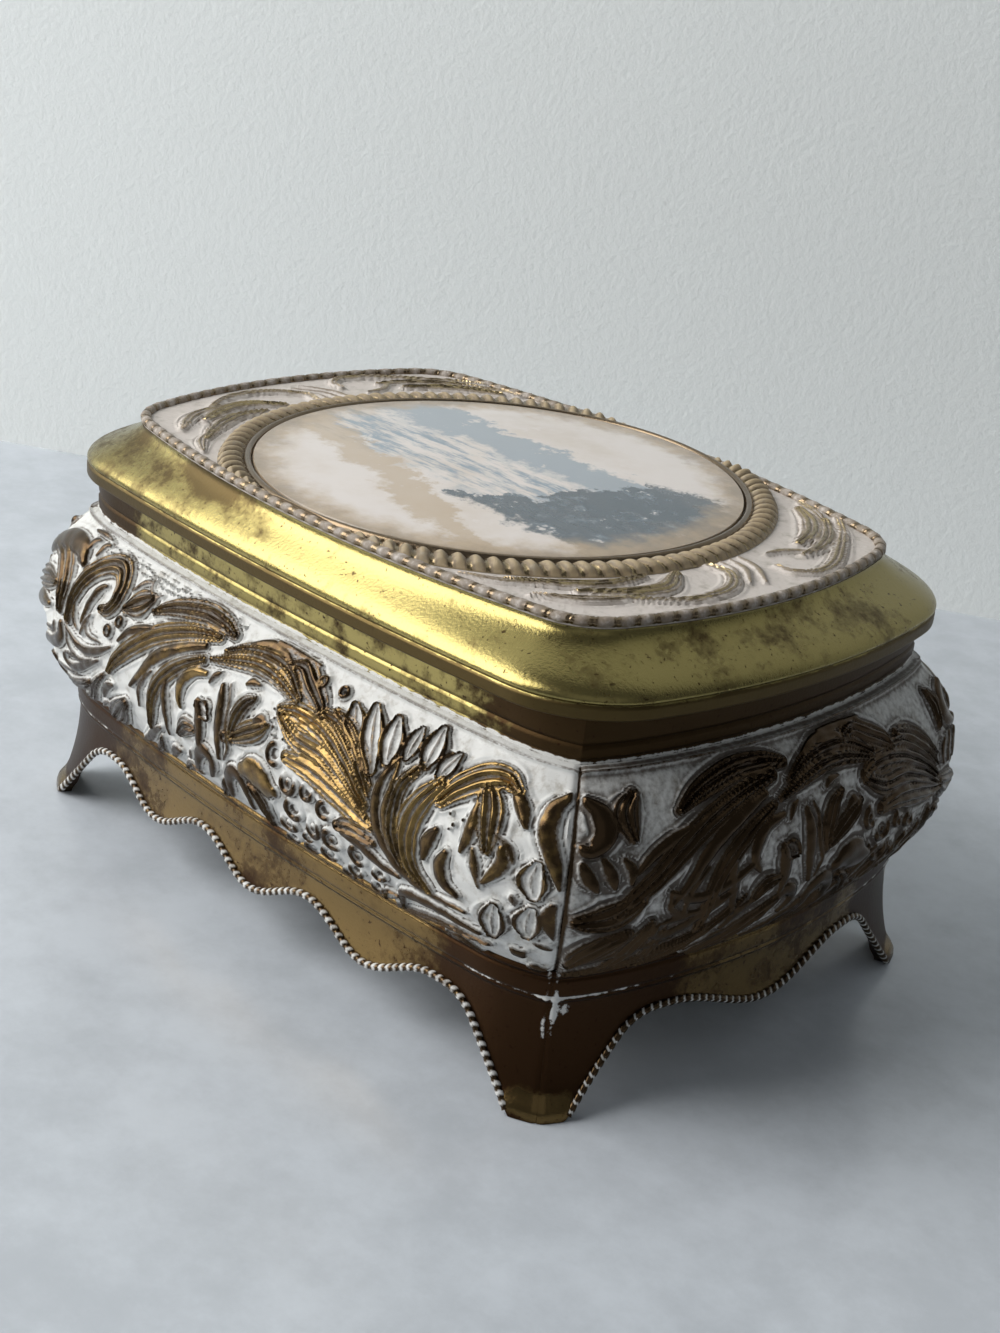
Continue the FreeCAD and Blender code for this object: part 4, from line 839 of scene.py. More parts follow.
def worn_picture():
    """A rubbed print of a lake: pale sky, far hills, water in streaks, dark trees to one side and a tan bank.

    Each part is a step across a straight or round boundary that noise has made ragged.
    """
    finish = Finish("worn_print")
    x, y = finish.coordinate("X"), finish.coordinate("Y")
    ragged = finish.sum(finish.noise(9.0, 6.0, 0.7), -0.5)
    wander = finish.times(ragged, 0.022)
    stains = finish.ramp(finish.noise(14.0, 5.0), 0.40, 0.72)
    sky = finish.mix(stains, paint("picture_sky"), paint("picture_bank"))
    sky = finish.mix(0.68, sky, paint("picture_sky"))
    hill_line = finish.sum(y, wander, 1.0)
    hills = finish.times(finish.ramp(hill_line, 0.0165, 0.0145), finish.ramp(hill_line, 0.002, 0.006))
    view = finish.mix(finish.times(hills, 0.85), sky, paint("picture_hills"))
    streaks = finish.noise(2.2, 5.0, 0.7, finish.stretched((0.22, 1.0, 1.0)))
    water = finish.times(finish.ramp(hill_line, 0.004, 0.001), finish.ramp(hill_line, -0.016, -0.010))
    view = finish.mix(finish.times(water, finish.ramp(streaks, 0.42, 0.62)), view, paint("picture_hills"))
    tree_side = finish.sum(finish.sum(x, y, -0.35), wander, 1.6)
    tree_tops = finish.ramp(finish.sum(y, wander, 1.2), 0.021, 0.018)
    tree_feet = finish.ramp(hill_line, -0.017, -0.014)
    trees = finish.times(finish.times(finish.ramp(tree_side, 0.0135, 0.0150), tree_tops), tree_feet)
    gaps = finish.ramp(finish.noise(3.0, 5.0), 0.50, 0.85)
    leaves = finish.mix(gaps, paint("picture_trees"), paint("picture_hills"))
    view = finish.mix(finish.times(trees, 0.95), view, leaves)
    bank_line = finish.sum(finish.sum(y, x, 0.30), wander, 0.9)
    bank = finish.times(finish.ramp(bank_line, -0.016, -0.018), finish.ramp(bank_line, -0.026, -0.023))
    view = finish.mix(finish.times(bank, 0.7), view, paint("picture_bank"))
    scuffs = finish.ramp(finish.noise(6.0, 8.0, 0.75), 0.60, 0.66)
    view = finish.mix(finish.times(scuffs, 0.8), view, paint("picture_sky"))
    rim = finish.ramp(finish.sum(finish.field("edge"), finish.noise(5.0, 5.0), 0.28), 0.94, 1.12)
    view = finish.mix(finish.times(rim, 0.85), view, paint("picture_bank"))
    burn = finish.ramp(finish.sum(finish.field("edge"), finish.noise(7.0, 6.0, 0.7), 0.4), 1.06, 1.24)
    view = finish.mix(finish.times(burn, 0.6), view, paint("plate_shade"))
    finish.bump(finish.noise(2.5, 6.0, 0.7), 0.05, 0.3)
    return finish.finish(Base_Color=view, Roughness=0.22, Coat_Weight=0.35, Coat_Roughness=0.12)


def velvet():
    """Short pile: a dark ground with a pale sheen, brushed in soft patches."""
    finish = Finish("lining_velvet")
    brushed = finish.ramp(finish.noise(11.0, 4.0), 0.35, 0.7)
    dark = finish.mix(0.45, paint("velvet"), (0.0, 0.0, 0.0, 1.0))
    finish.bump(finish.noise(0.35, 2.0), 0.15, 0.6)
    material = finish.finish(Base_Color=finish.mix(brushed, dark, paint("velvet")), Roughness=0.9,
                             Sheen_Weight=0.6, Sheen_Roughness=0.4)
    finish.surface.inputs["Sheen Tint"].default_value = paint("velvet_sheen")
    return material


def plain_sheet(name, colour_name, metallic, roughness):
    """Tin or card: one colour with soft stains and a fine grain."""
    finish = Finish(name)
    stains = finish.times(finish.ramp(finish.noise(8.0, 6.0, 0.7), 0.45, 0.75), 0.5)
    darker = finish.mix(0.5, paint(colour_name), (0.03, 0.025, 0.02, 1.0))
    finish.bump(finish.noise(0.6, 4.0), 0.05, 0.4)
    return finish.finish(Base_Color=finish.mix(stains, paint(colour_name), darker), Metallic=metallic,
                         Roughness=roughness)


def stone_floor():
    """Pale honed stone with faint clouds."""
    finish = Finish("stage_floor")
    cloud = finish.sum(finish.noise(45.0, 7.0, 0.65), finish.noise(9.0, 6.0, 0.7), 0.5)
    veins = finish.ramp(cloud, 0.55, 0.95)
    darker = finish.mix(0.22, paint("floor"), (0.1, 0.11, 0.12, 1.0))
    return finish.finish(Base_Color=finish.mix(veins, paint("floor"), darker), Roughness=0.24)


def canvas_wall():
    """Pale wall with a fine weave, clear from behind so that the box is seen from that side too."""
    finish = Finish("stage_wall")
    finish.bump(finish.noise(1.6, 3.0), 0.4, 0.4)
    behind = finish.node("ShaderNodeNewGeometry", {}).outputs["Backfacing"]
    return finish.finish(Base_Color=paint("backdrop"), Roughness=0.85, Alpha=finish.sum(1.0, behind, -1.0))


# Pieces of the base


class TRINKET_OT_relief_walls(bpy.types.Operator):
    """Press the ornament into the four bombe walls."""

    bl_idname = "trinket.relief_walls"
    bl_label = "Relief walls"

    def execute(self, context):
        """Each wall is its smooth belly, lifted along its normals by the ornament and backed by the sheet."""
        sizes = body_sizes()
        material = washed_gilt("washed_relief", "white_wash", "wash_dirt", "gilt", "tarnish")
        depth = belly_length()
        for wall in walls():
            along = wall.columns("relief")
            down = np.linspace(0.0, depth, RELIEF_ROWS)
            out, level = belly(down)
            smooth = wall.place(along[None, :], out[:, None], level[:, None])
            chart_along, chart_down = np.broadcast_arrays(along[None, :], down[:, None])
            relief = Relief(chart_along, chart_down)
            if wall.is_long:
                front_ornament(relief, wall.seam)
            else:
                end_ornament(relief, wall.seam)
            from_edge = np.minimum(chart_down, depth - chart_down)
            from_seam = wall.seam - np.abs(chart_along)
            line = 0.52 * bell(chart_down, 0.85, 0.3)
            rest = smooth_step(0.2, 1.2, from_edge) * smooth_step(0.0, 0.7, from_seam)
            height = np.maximum(relief.height * rest, line)
            # Hollow: grime with painted shade at the foot of the ornament, from the blurred height
            hollow = 2.2 * np.clip(blurred(height, WALL_BLUR) - height, 0.0, 1.0)
            first_wave = np.sin(1.3 * chart_along + 0.9 * chart_down)
            second_wave = np.sin(0.7 * chart_along - 1.6 * chart_down)
            swells = 0.05 * first_wave * second_wave
            dip = RELIEF_SEAM_DIP * bell(from_seam, 0.0, 0.45)
            lift = sizes.relief_height * (height + swells * rest) - dip
            face = smooth + grid_normals(smooth) * lift[..., None]
            back_out, back_level = belly(np.linspace(depth, 0.0, RELIEF_BACK_ROWS))
            back = wall.place(along[None, :], back_out[:, None] - sizes.wall, back_level[:, None])
            seam_line = bell(from_seam, 0.0, 0.35)
            raised = np.maximum(height, 0.7 * seam_line)
            # Tone falls towards the bottom rows of the belly and along the seams
            tone = 0.68 * relief.tone - 0.2 * seam_line - 0.25 * smooth_step(17.0, 31.0, chart_down)
            # Painted shade on the ends: less tone, more metal showing, more dark wash in the hollows
            if not wall.is_long:
                tone = tone - END_TONE_LOSS
                raised = END_SHADE_METAL * raised + 0.05
                hollow = hollow + END_PAINTED_SHADE
            fields = with_back(RELIEF_BACK_ROWS, raised=raised, tone=tone, hollow=hollow)
            piece = shell(f"{wall.name}_relief", np.concatenate([face, back]), material, fields=fields)
            seat(piece, "base", "panel_gilt", f"{wall.name}_panel")
        return {"FINISHED"}


class TRINKET_OT_neck_bands(bpy.types.Operator):
    """Roll the plain neck above each wall."""

    bl_idname = "trinket.neck_bands"
    bl_label = "Neck bands"

    def execute(self, context):
        """The band's section is upright with a rounded rim and two grooves, carried along the neck."""
        sizes = body_sizes()
        material = aged_brass("neck_brass", "lid_brass", "band_tarnish", 0.30, patch=6.0, share=0.42)
        for wall in walls():
            level = np.linspace(sizes.rim_level - 0.3, sizes.ledge_level, NECK_ROWS)
            above = level - sizes.ledge_level
            groove = 0.28 * bell(above, 2.7, 0.3) + 0.16 * bell(above, 0.6, 0.2)
            turn = np.linspace(0.0, math.pi, 9)[1:-1]
            half = sizes.wall / 2.0
            rim_out = half * (-np.cos(turn) - 1.0)
            out = np.concatenate([-groove, np.full(NECK_BACK_ROWS, -sizes.wall), rim_out])
            inner = np.linspace(sizes.ledge_level, sizes.rim_level - 0.3, NECK_BACK_ROWS)
            levels = np.concatenate([level, inner, sizes.rim_level - 0.3 + 0.3 * np.sin(turn)])
            along = wall.columns("neck")
            points = wall.place(along[None, :], out[:, None], levels[:, None])
            wash = 0.6 * bell(levels, sizes.ledge_level + 0.2, 0.4)
            # Stain field: high on the ends and near the corners, painted shade under the lid's lip
            stain_shade_and_shine = np.full(len(along), 0.5)
            if wall.is_long:
                stain_shade_and_shine = 0.1 + 0.4 * smooth_step(30.0, 2.0, wall.seam - np.abs(along))
            shape = points.shape[:2]
            fields = {"wash": np.broadcast_to(wash[:, None], shape), "stain_shade_and_shine": np.broadcast_to(stain_shade_and_shine, shape)}
            piece = shell(f"{wall.name}_neck", points, material, fields=fields)
            seat(piece, "base", "panel_gilt", f"{wall.name}_panel")
        return {"FINISHED"}


def flare(level):
    """Offset out of the skirt: a hollow arc, upright at the band and reaching the toe at the table."""
    sizes = body_sizes()
    run = sizes.foot_out - sizes.skirt_out
    radius = (run ** 2 + sizes.band_bottom ** 2) / (2.0 * run)
    fall = sizes.band_bottom - level
    return sizes.skirt_out + radius - np.sqrt(radius ** 2 - fall ** 2)


def skirt_edge(wall, along):
    """Level of the lower edge: waves, a flat stretch, an arch, its tangent slanting down to the toe, then 0.

    The edge is given over the distance from the middle of the wall, which the flare of the skirt shifts a
    little, so the level is found in a few rounds.
    """
    sizes = body_sizes()
    start = wall.leg - sizes.arch_span
    outer = start - sizes.scallop_flat
    centre_up = sizes.scallop_top - sizes.arch_radius
    span = sizes.arch_span ** 2 + centre_up ** 2
    straight = math.sqrt(span - sizes.arch_radius ** 2)
    bend = sizes.arch_radius * (sizes.arch_radius * sizes.arch_span + straight * centre_up) / span
    level = np.full(along.shape, sizes.toe_top)
    for _ in range(6):
        reach = np.abs(wall.plan(along, flare(level))[0])
        wave = 0.5 * (1.0 - np.cos(np.pi * (reach / outer * wall.lobes + wall.lobes)))
        into = np.clip(reach - start, 0.0, bend)
        arch = centre_up + np.sqrt(sizes.arch_radius ** 2 - into ** 2)
        slope = bend / math.sqrt(sizes.arch_radius ** 2 - bend ** 2)
        level = np.where(reach < outer, sizes.scallop_top - sizes.scallop_depth * wave, arch)
        level = np.maximum(level - slope * np.maximum(reach - start - bend, 0.0), 0.0)
    return level


class TRINKET_OT_skirts(bpy.types.Operator):
    """Form the plain band, the flared skirt and the feet."""

    bl_idname = "trinket.skirts"
    bl_label = "Skirts"

    def execute(self, context):
        """Outside, the band and then the flare down to the wavy edge; inside, the sheet back up again."""
        sizes = body_sizes()
        material = aged_brass("skirt_brass", "band_brass", "band_tarnish", 0.2, patch=14.0, share=0.7)
        for wall in walls():
            along = wall.columns("skirt")
            edge = skirt_edge(wall, along)
            band_level = np.linspace(sizes.waist_level, sizes.band_bottom, BAND_ROWS)
            share = (sizes.waist_level - band_level) / (sizes.waist_level - sizes.band_bottom)
            bead = 0.30 * bell(share, 0.10, 0.07)
            grooves = 0.22 * bell(share, 0.24, 0.05) + 0.22 * bell(share, 0.80, 0.05)
            step_in = (sizes.skirt_out - sizes.waist_out) * smooth_step(0.84, 1.0, share)
            band_out = sizes.waist_out + step_in + bead - grooves
            fall = np.linspace(0.0, 1.0, SKIRT_ROWS)[1:, None]
            level = sizes.band_bottom + (edge[None, :] - sizes.band_bottom) * fall
            is_foot = smooth_step(wall.leg - 4.0, wall.leg + 1.0, np.abs(wall.plan(along, sizes.foot_out)[0]))
            toe = 0.7 * is_foot[None, :] * bell(level, 1.5, 1.5)
            skirt_out = flare(level) + toe
            thick = sizes.wall + (sizes.toe_thickness - sizes.wall) * smooth_step(sizes.toe_top, 0.0, level)
            band_rows = np.broadcast_to(band_out[:, None], (len(band_out), len(along)))
            band_levels = np.broadcast_to(band_level[:, None], band_rows.shape)
            inner = slice(None, None, -3)
            outs = np.concatenate([band_rows, skirt_out, (skirt_out - thick)[inner],
                                   np.full((1, len(along)), sizes.skirt_out - sizes.wall)])
            top_row = np.full((1, len(along)), sizes.waist_level)
            levels = np.concatenate([band_levels, level, level[inner], top_row])
            from_seam = (wall.seam - np.abs(along))[None, :]
            outs = outs - SKIRT_SEAM_DIP * bell(from_seam, 0.0, 0.3)
            groove = sizes.waist_level - 0.8 * (sizes.waist_level - sizes.band_bottom)
            in_groove = bell(levels, groove, 0.28) * smooth_step(40.0, 4.0, from_seam)
            smear = 0.42 * bell(from_seam, 1.6, 1.6) * bell(levels, groove - 2.0, 2.6)
            wash = 0.42 * bell(from_seam, 0.5, 0.5) * smooth_step(8.0, 14.0, levels) + 0.5 * in_groove
            wash = wash if wall.is_long else wash + smear
            # Browner near the seams: tarnish and painted shade; below zero at the toes: a painted highlight
            stain_shade_and_shine = 0.5 * smooth_step(24.0, 4.0, from_seam) - 0.7 * is_foot[None, :] * bell(levels, 2.0, 2.4)
            fields = {"wash": wash, "stain_shade_and_shine": stain_shade_and_shine}
            points = wall.place(along[None, :], outs, levels)
            piece = shell(f"{wall.name}_skirt", points, material, fields=fields)
            seat(piece, "base", "panel_gilt", f"{wall.name}_panel")
        return {"FINISHED"}


def rope(name, path, outward, is_white, material):
    """A roped roll along a path: a tube whose radius swells in slanted strands.

    The section turns about the path's direction. The strand's phase is the length along over the pitch, plus
    the slant times the section's angle. A white rope has its paint on the strands, a brown one between them.
    """
    sizes = body_sizes()
    forward = unit(np.gradient(path, axis=0))
    side = unit(outward - (outward * forward).sum(axis=-1, keepdims=True) * forward)
    up = np.cross(forward, side)
    angle = np.linspace(0.0, 2.0 * np.pi, ROPE_SIDES, endpoint=False)[:, None]
    strand = 0.5 + 0.5 * np.cos(2.0 * np.pi * lengths_along(path) / sizes.rope_pitch + ROPE_SLANT * angle)
    swell = sizes.rope_radius * (0.84 + 0.22 * strand ** 0.6)
    points = tube(path, side, up, angle, swell)
    white = 0.36 + 0.45 * (1.0 - strand) ** 1.5
    brown = 0.85 - 0.6 * (1.0 - strand) ** 3
    # An even, low hollow field: a little grime with painted shade in the rope's paint
    fields = {"raised": white if is_white else brown, "tone": np.full(strand.shape, 0.2),
              "hollow": np.full(strand.shape, 0.16)}
    return shell(name, points, material, fields=fields)


class TRINKET_OT_rope_edges(bpy.types.Operator):
    """Roll the roped border along the skirt's wavy edge."""

    bl_idname = "trinket.rope_edges"
    bl_label = "Rope edges"

    def execute(self, context):
        """The rope follows the skirt's edge from one foot to the other, evenly by length."""
        sizes = body_sizes()
        material = washed_gilt("washed_rope", "white_wash", "wash_dirt", "band_brass", "tarnish")
        for wall in walls():
            along = wall.columns("rope")
            along = along[skirt_edge(wall, along) > sizes.rope_radius * 1.1]
            level = skirt_edge(wall, along)
            line = wall.place(along, flare(level) + 0.1, level)
            travelled = lengths_along(line)
            even = np.linspace(0.0, travelled[-1], int(travelled[-1] / sizes.rope_pitch * ROPE_STEPS))
            path = np.stack([np.interp(even, travelled, line[:, axis]) for axis in range(3)], axis=-1)
            spread = np.interp(even, travelled, along)
            outward = wall.place(spread, 1.0, 0.0) - wall.place(spread, 0.0, 0.0)
            # The ends take the darker brown rope: painted shade on the ends
            piece = rope(f"{wall.name}_rope", path, outward, wall.is_long, material)
            seat(piece, "base", "panel_gilt")
        return {"FINISHED"}


# Pieces of the lid


def bowed_rectangle(length_half, width_half, long_bow, short_bow, radius, grow, fine=1):
    """Plan of a bowed rectangle as columns of points, counter-clockwise from the front's left end.

    Half of it is a long arc, a corner, a short arc and a corner; the other half is the same turned round. The
    sizes are columns of numbers, one row for each outline.
    """
    corner_x = length_half - short_bow - radius
    corner_y = width_half - long_bow - radius
    long_core = (corner_x ** 2 + long_bow ** 2) / (2.0 * long_bow)
    short_core = (corner_y ** 2 + short_bow ** 2) / (2.0 * short_bow)
    long_lean = np.arcsin(corner_x / long_core)
    short_lean = np.arcsin(corner_y / short_core)
    reach = radius + grow
    def sweep(start, end, count):
        return start + (end - start) * np.arange(count * fine)[None, :] / (count * fine)
    turn = sweep(-long_lean, long_lean, 150)
    xs = [(long_core + reach) * np.sin(turn)]
    ys = [long_core - corner_y - long_bow - (long_core + reach) * np.cos(turn)]
    turn = sweep(long_lean, np.pi / 2.0 - short_lean, 50)
    xs.append(corner_x + reach * np.sin(turn))
    ys.append(-corner_y - reach * np.cos(turn))
    turn = sweep(-short_lean, short_lean, 100)
    xs.append(corner_x + short_bow - short_core + (short_core + reach) * np.cos(turn))
    ys.append((short_core + reach) * np.sin(turn))
    turn = sweep(short_lean, np.pi / 2.0 - long_lean, 50)
    xs.append(corner_x + reach * np.cos(turn))
    ys.append(corner_y + reach * np.sin(turn))
    x, y = np.concatenate(xs, axis=1), np.concatenate(ys, axis=1)
    return np.concatenate([x, -x], axis=1), np.concatenate([y, -y], axis=1)


def cove_outline(share, grow, fine=1):
    """Outlines of the lid on the way from the plate's edge (0) to the lip (1), one row for each share."""
    lid, body = lid_sizes(), body_sizes()
    share, grow = np.broadcast_arrays(np.asarray(share, float), np.asarray(grow, float))
    share, grow = share.reshape(-1, 1), grow.reshape(-1, 1)
    pairs = [
        (lid.top_half_length, lid.lip_half_length), (lid.top_half_width, lid.lip_half_width),
        (lid.top_long_bow, body.long_bow), (lid.top_short_bow, body.short_bow),
        (lid.top_radius, lid.lip_radius),
    ]
    return bowed_rectangle(*(top + share * (lip - top) for top, lip in pairs), grow, fine)


class TRINKET_OT_lid_cove(bpy.types.Operator):
    """Spin the coved brass rim of the lid with its rolled lip."""

    bl_idname = "trinket.lid_cove"
    bl_label = "Lid cove"

    def execute(self, context):
        """The outline follows a cubic step of the drop; the section runs down outside and up inside."""
        lid, body = lid_sizes(), body_sizes()
        drop = np.linspace(0.0, 1.0, COVE_ROWS)
        cove = smooth_step(0.0, 1.0, drop)
        cove_level = lid.cove_top - drop * (lid.cove_top - lid.lip_top)
        bead = np.linspace(lid.lip_top, lid.lip_level + 0.4, LIP_ROWS)[1:]
        turn = np.linspace(0.0, np.pi, 9)[1:]
        lip_grow = -0.30 * bell(bead, lid.lip_top - 0.45, 0.25)
        inside_top = lid.lip_top - body.wall
        share = [cove, np.ones(len(bead)), np.ones(len(turn)), np.ones(3), cove[::-4], np.zeros(2)]
        grow = [np.zeros(len(cove)), lip_grow, -0.4 + 0.4 * np.cos(turn), np.full(3, -body.wall),
                np.full(len(cove[::-4]), -body.wall), np.full(2, -lid.flange)]
        level = [cove_level, bead, lid.lip_level + 0.4 - 0.4 * np.sin(turn),
                 np.linspace(lid.lip_level + 0.6, inside_top, 4)[:3], cove_level[::-4] - body.wall,
                 np.array([lid.cove_top - body.wall, lid.cove_top])]
        share, grow, level = np.concatenate(share), np.concatenate(grow), np.concatenate(level)
        x, y = cove_outline(share, grow)
        points = at_level(x, y, level[:, None])
        material = aged_brass("cove_brass", "lid_brass", "lid_tarnish", 0.25, patch=11.0, share=0.52)
        smudge = 0.6 * bell(x, -22.0, 6.0) * (y < 0.0) * bell(points[..., 2], lid.cove_top - 1.0, 1.6)
        # Browner on the ends and to the left: painted shade for the cove's darker reflections there
        cove_end_shade = 0.06 * smooth_step(lid.top_half_length - 8.0, lid.top_half_length + 3.0, np.abs(x))
        cove_left_shade = 0.12 * smooth_step(10.0, -45.0, x)
        at_lip = 0.4 * smooth_step(lid.lip_top - 0.3, lid.lip_top - 0.9, points[..., 2])
        stain_shade_and_shine = smudge + cove_end_shade + cove_left_shade + at_lip
        piece = shell("lid_cove", points, material, wrap_columns=True, fields={"stain_shade_and_shine": stain_shade_and_shine})
        seat(piece, "lid", "lid_brass", "lid_frame")
        return {"FINISHED"}


SPANDREL = [
    ("leaf", 0.7, 2.6, [(41.6, 36.0), (46.6, 31.0), (51.2, 24.6), (55.0, 18.4), (56.4, 13.2), (54.8, 9.4),
                        (51.4, 8.7)]),
    ("leaf", 0.6, 3.4, [(35.6, 33.6), (40.6, 30.4), (44.4, 25.6), (46.8, 19.6)]),
    ("leaf", 0.5, 3.0, [(41.6, 33.0), (46.2, 28.0), (49.4, 22.0), (50.6, 16.4)]),
    ("leaf", 0.5, 2.4, [(33.4, 36.4), (38.4, 34.6), (42.0, 32.0)]),
    ("round", 0.6, 1.7, [(49.6, 18.2), (47.6, 15.0), (47.2, 11.4)]),
    ("leaf", 0.7, 2.6, [(45.9, -0.8), (50.4, -0.4), (54.2, -4.6), (55.2, -10.6), (53.6, -16.6),
                        (49.0, -23.0)]),
    ("leaf", 0.6, 3.6, [(46.6, -8.2), (49.6, -13.6), (48.4, -20.0), (44.6, -26.4)]),
    ("leaf", 0.5, 3.2, [(45.0, -13.4), (44.4, -20.4), (40.6, -27.0), (36.0, -32.4)]),
    ("leaf", 0.5, 2.6, [(50.6, -19.4), (47.6, -27.0), (42.0, -33.0)]),
    ("leaf", 0.5, 2.2, [(39.4, -27.4), (36.2, -33.0), (31.0, -36.6)]),
    ("round", 0.5, 1.4, [(46.2, 6.2), (50.4, 5.4), (55.4, 1.8)]),
    ("round", 0.5, 1.4, [(46.4, 4.0), (50.2, 3.2), (54.4, -0.6)]),
    ("round", 0.5, 1.2, [(46.4, 1.8), (49.6, 1.4), (52.6, -1.0)]),
]


class TRINKET_OT_lid_plate(bpy.types.Operator):
    """Press the scrolls of the lid's plate and set the beads round its edge."""

    bl_idname = "trinket.lid_plate"
    bl_label = "Lid plate"

    def execute(self, context):
        """The plate runs from the ring's opening out to its bowed outline; its height is the ornament."""
        lid = lid_sizes()
        x, y = cove_outline(0.0, -0.15, fine=2)
        away = np.hypot(x, y)
        inner = lid.ring_inner - 0.4
        share = np.linspace(0.0, 1.0, PLATE_ROWS)[:, None]
        reach = inner + share * (away - inner)
        chart_x, chart_y = x / away * reach, y / away * reach
        relief = Relief(chart_x, chart_y)
        relief.strokes(SPANDREL, broad=PLATE_BROAD)
        relief.strokes(SPANDREL, mirror=-1.0, broad=PLATE_BROAD)
        clear = smooth_step(0.3, 2.4, away - reach) * smooth_step(-1.0, 1.0, reach - lid.ring_outer)
        grain = 0.10 * scatter(np.floor(chart_x / 0.55), np.floor(chart_y / 0.55), 5.0)
        height = relief.height * clear
        level = lid.plate_level - 0.1 + lid.plate_relief * height + 0.5 * lid.plate_relief * grain * clear
        under = at_level(x, y, lid.cove_top + 0.02)
        hole = at_level(x / away * inner, y / away * inner, lid.cove_top + 0.02)
        points = np.concatenate([at_level(chart_x, chart_y, level), under, hole])
        # Hollow: grime with painted shade in the plate's recesses
        hollow = 1.6 * np.clip(blurred(height, PLATE_BLUR) - height, 0.0, 1.0)
        fields = with_back(2, raised=0.85 * height, tone=relief.tone, hollow=hollow)
        material = washed_gilt("washed_plate", "plate_wash", "wash_dirt", "plate_gilt", "plate_shade")
        piece = shell("lid_plate", points, material, wrap_columns=True, fields=fields)
        seat(piece, "lid", "plate_wash", "top_plate")
        border_x, border_y = cove_outline(0.0, -lid.bead_radius * 0.7, fine=3)
        path = at_level(border_x[0], border_y[0], lid.plate_level + 0.05)
        travelled = lengths_along(np.concatenate([path, path[:1]]))
        count = round(travelled[-1] / lid.bead_pitch)
        phase = travelled[:-1] / travelled[-1] * count
        forward = unit(np.roll(path, -1, axis=0) - np.roll(path, 1, axis=0))
        up = np.array([0.0, 0.0, 1.0])
        side = unit(np.cross(forward, up))
        angle = np.linspace(0.0, 2.0 * np.pi, BORDER_SIDES, endpoint=False)[:, None]
        slanted = phase[None, :] + 0.10 * np.cos(angle)
        bead = np.abs(np.sin(np.pi * slanted)) ** 0.7
        leaf = np.abs(np.sin(np.pi * (slanted - 0.5))) ** 6.0
        swell = lid.bead_radius * (0.5 + 0.62 * bead + 0.34 * leaf)
        ridge = tube(path, side, 0.85 * up, angle, swell)
        # The border's hollow is highest between the beads: grime with painted shade in the gaps
        border_fields = {"raised": 0.76 - 0.32 * bead, "tone": 0.1 + 0.2 * bead, "hollow": 0.3 - 0.2 * bead}
        border = shell("lid_border", ridge, material, wrap_columns=True, fields=border_fields)
        seat(border, "lid", "plate_wash")
        return {"FINISHED"}


class TRINKET_OT_rope_ring(bpy.types.Operator):
    """Twist the rope ring round the picture."""

    bl_idname = "trinket.rope_ring"
    bl_label = "Rope ring"

    def execute(self, context):
        """Across the ring a smooth inner bezel is followed by a half round, notched in slanted strands.

        The ring's outside is a circle, cut where it would pass the plate's edge.
        """
        lid = lid_sizes()
        x, y = cove_outline(0.0, -0.5, fine=3)
        angle = np.unwrap(np.arctan2(y[0], x[0]))
        turn = np.linspace(angle[0], angle[0] + 2.0 * np.pi, RING_COLUMNS, endpoint=False)
        away = np.hypot(x, y)[0]
        limit = np.interp(turn, np.append(angle, angle[0] + 2.0 * np.pi), np.append(away, away[0]))
        outer = np.minimum(lid.ring_outer, limit)
        share = np.linspace(0.0, 1.0, RING_ROWS)[:, None]
        reach = lid.ring_inner + share * (outer - lid.ring_inner)
        across = (reach - lid.ring_inner) / (lid.ring_outer - lid.ring_inner)
        strand = 0.5 + 0.5 * np.cos(RING_STRANDS * turn[None, :] - 3.4 * across)
        bezel = 0.75 * half_round((across - 0.12) / 0.14)
        roll = half_round((across - 0.60) / 0.38)
        cut = smooth_step(0.0, 0.12, 1.0 - share)
        height = np.maximum(bezel, roll * (0.45 + 0.55 * strand ** 0.7)) * (0.35 + 0.65 * cut)
        level = lid.plate_level + 0.1 + lid.ring_height * height
        face = at_level(np.cos(turn) * reach, np.sin(turn) * reach, level)
        edges = reach[[-1, 0]]
        base = at_level(np.cos(turn) * edges, np.sin(turn) * edges, lid.plate_level - 0.05)
        is_roll = smooth_step(0.22, 0.30, across)
        raised = is_roll * (0.76 - 0.47 * strand ** 0.5) + (1.0 - is_roll) * 0.66
        fields = with_back(2, raised=raised, tone=0.05 + 0.35 * is_roll)
        material = washed_gilt("washed_ring", "ring_cream", "wash_dirt", "plate_gilt", "plate_shade")
        piece = shell("rope_ring", np.concatenate([face, base]), material, wrap_columns=True, fields=fields)
        seat(piece, "lid", "rope_gilt", "rope_bezel")
        return {"FINISHED"}


class TRINKET_OT_picture(bpy.types.Operator):
    """Lay the domed picture in its ring."""

    bl_idname = "trinket.picture"
    bl_label = "Picture"

    def execute(self, context):
        """A low dome of revolution, whose height falls with the square of the way out."""
        lid = lid_sizes()
        low, high = PICTURE_LOW[2] / MILLIMETRE, PICTURE_HIGH[2] / MILLIMETRE
        turn = np.linspace(0.0, 2.0 * np.pi, PICTURE_COLUMNS, endpoint=False)
        share = np.concatenate([np.linspace(0.0005, 0.985, PICTURE_ROWS), [0.996, 1.0, 1.0, 0.0005]])[:, None]
        dome = high - PICTURE_CROWN * share ** 2
        dome[-3:] = np.array([high - PICTURE_CROWN - 0.25, low, low])[:, None]
        reach = lid.picture_radius * share
        points = at_level(np.cos(turn) * reach, np.sin(turn) * reach, dome)
        fields = {"edge": np.broadcast_to(share, points.shape[:2])}
        piece = shell("picture", points, worn_picture(), wrap_columns=True, fields=fields)
        seat(piece, "lid", "picture", "picture_disc")
        return {"FINISHED"}


# Linings


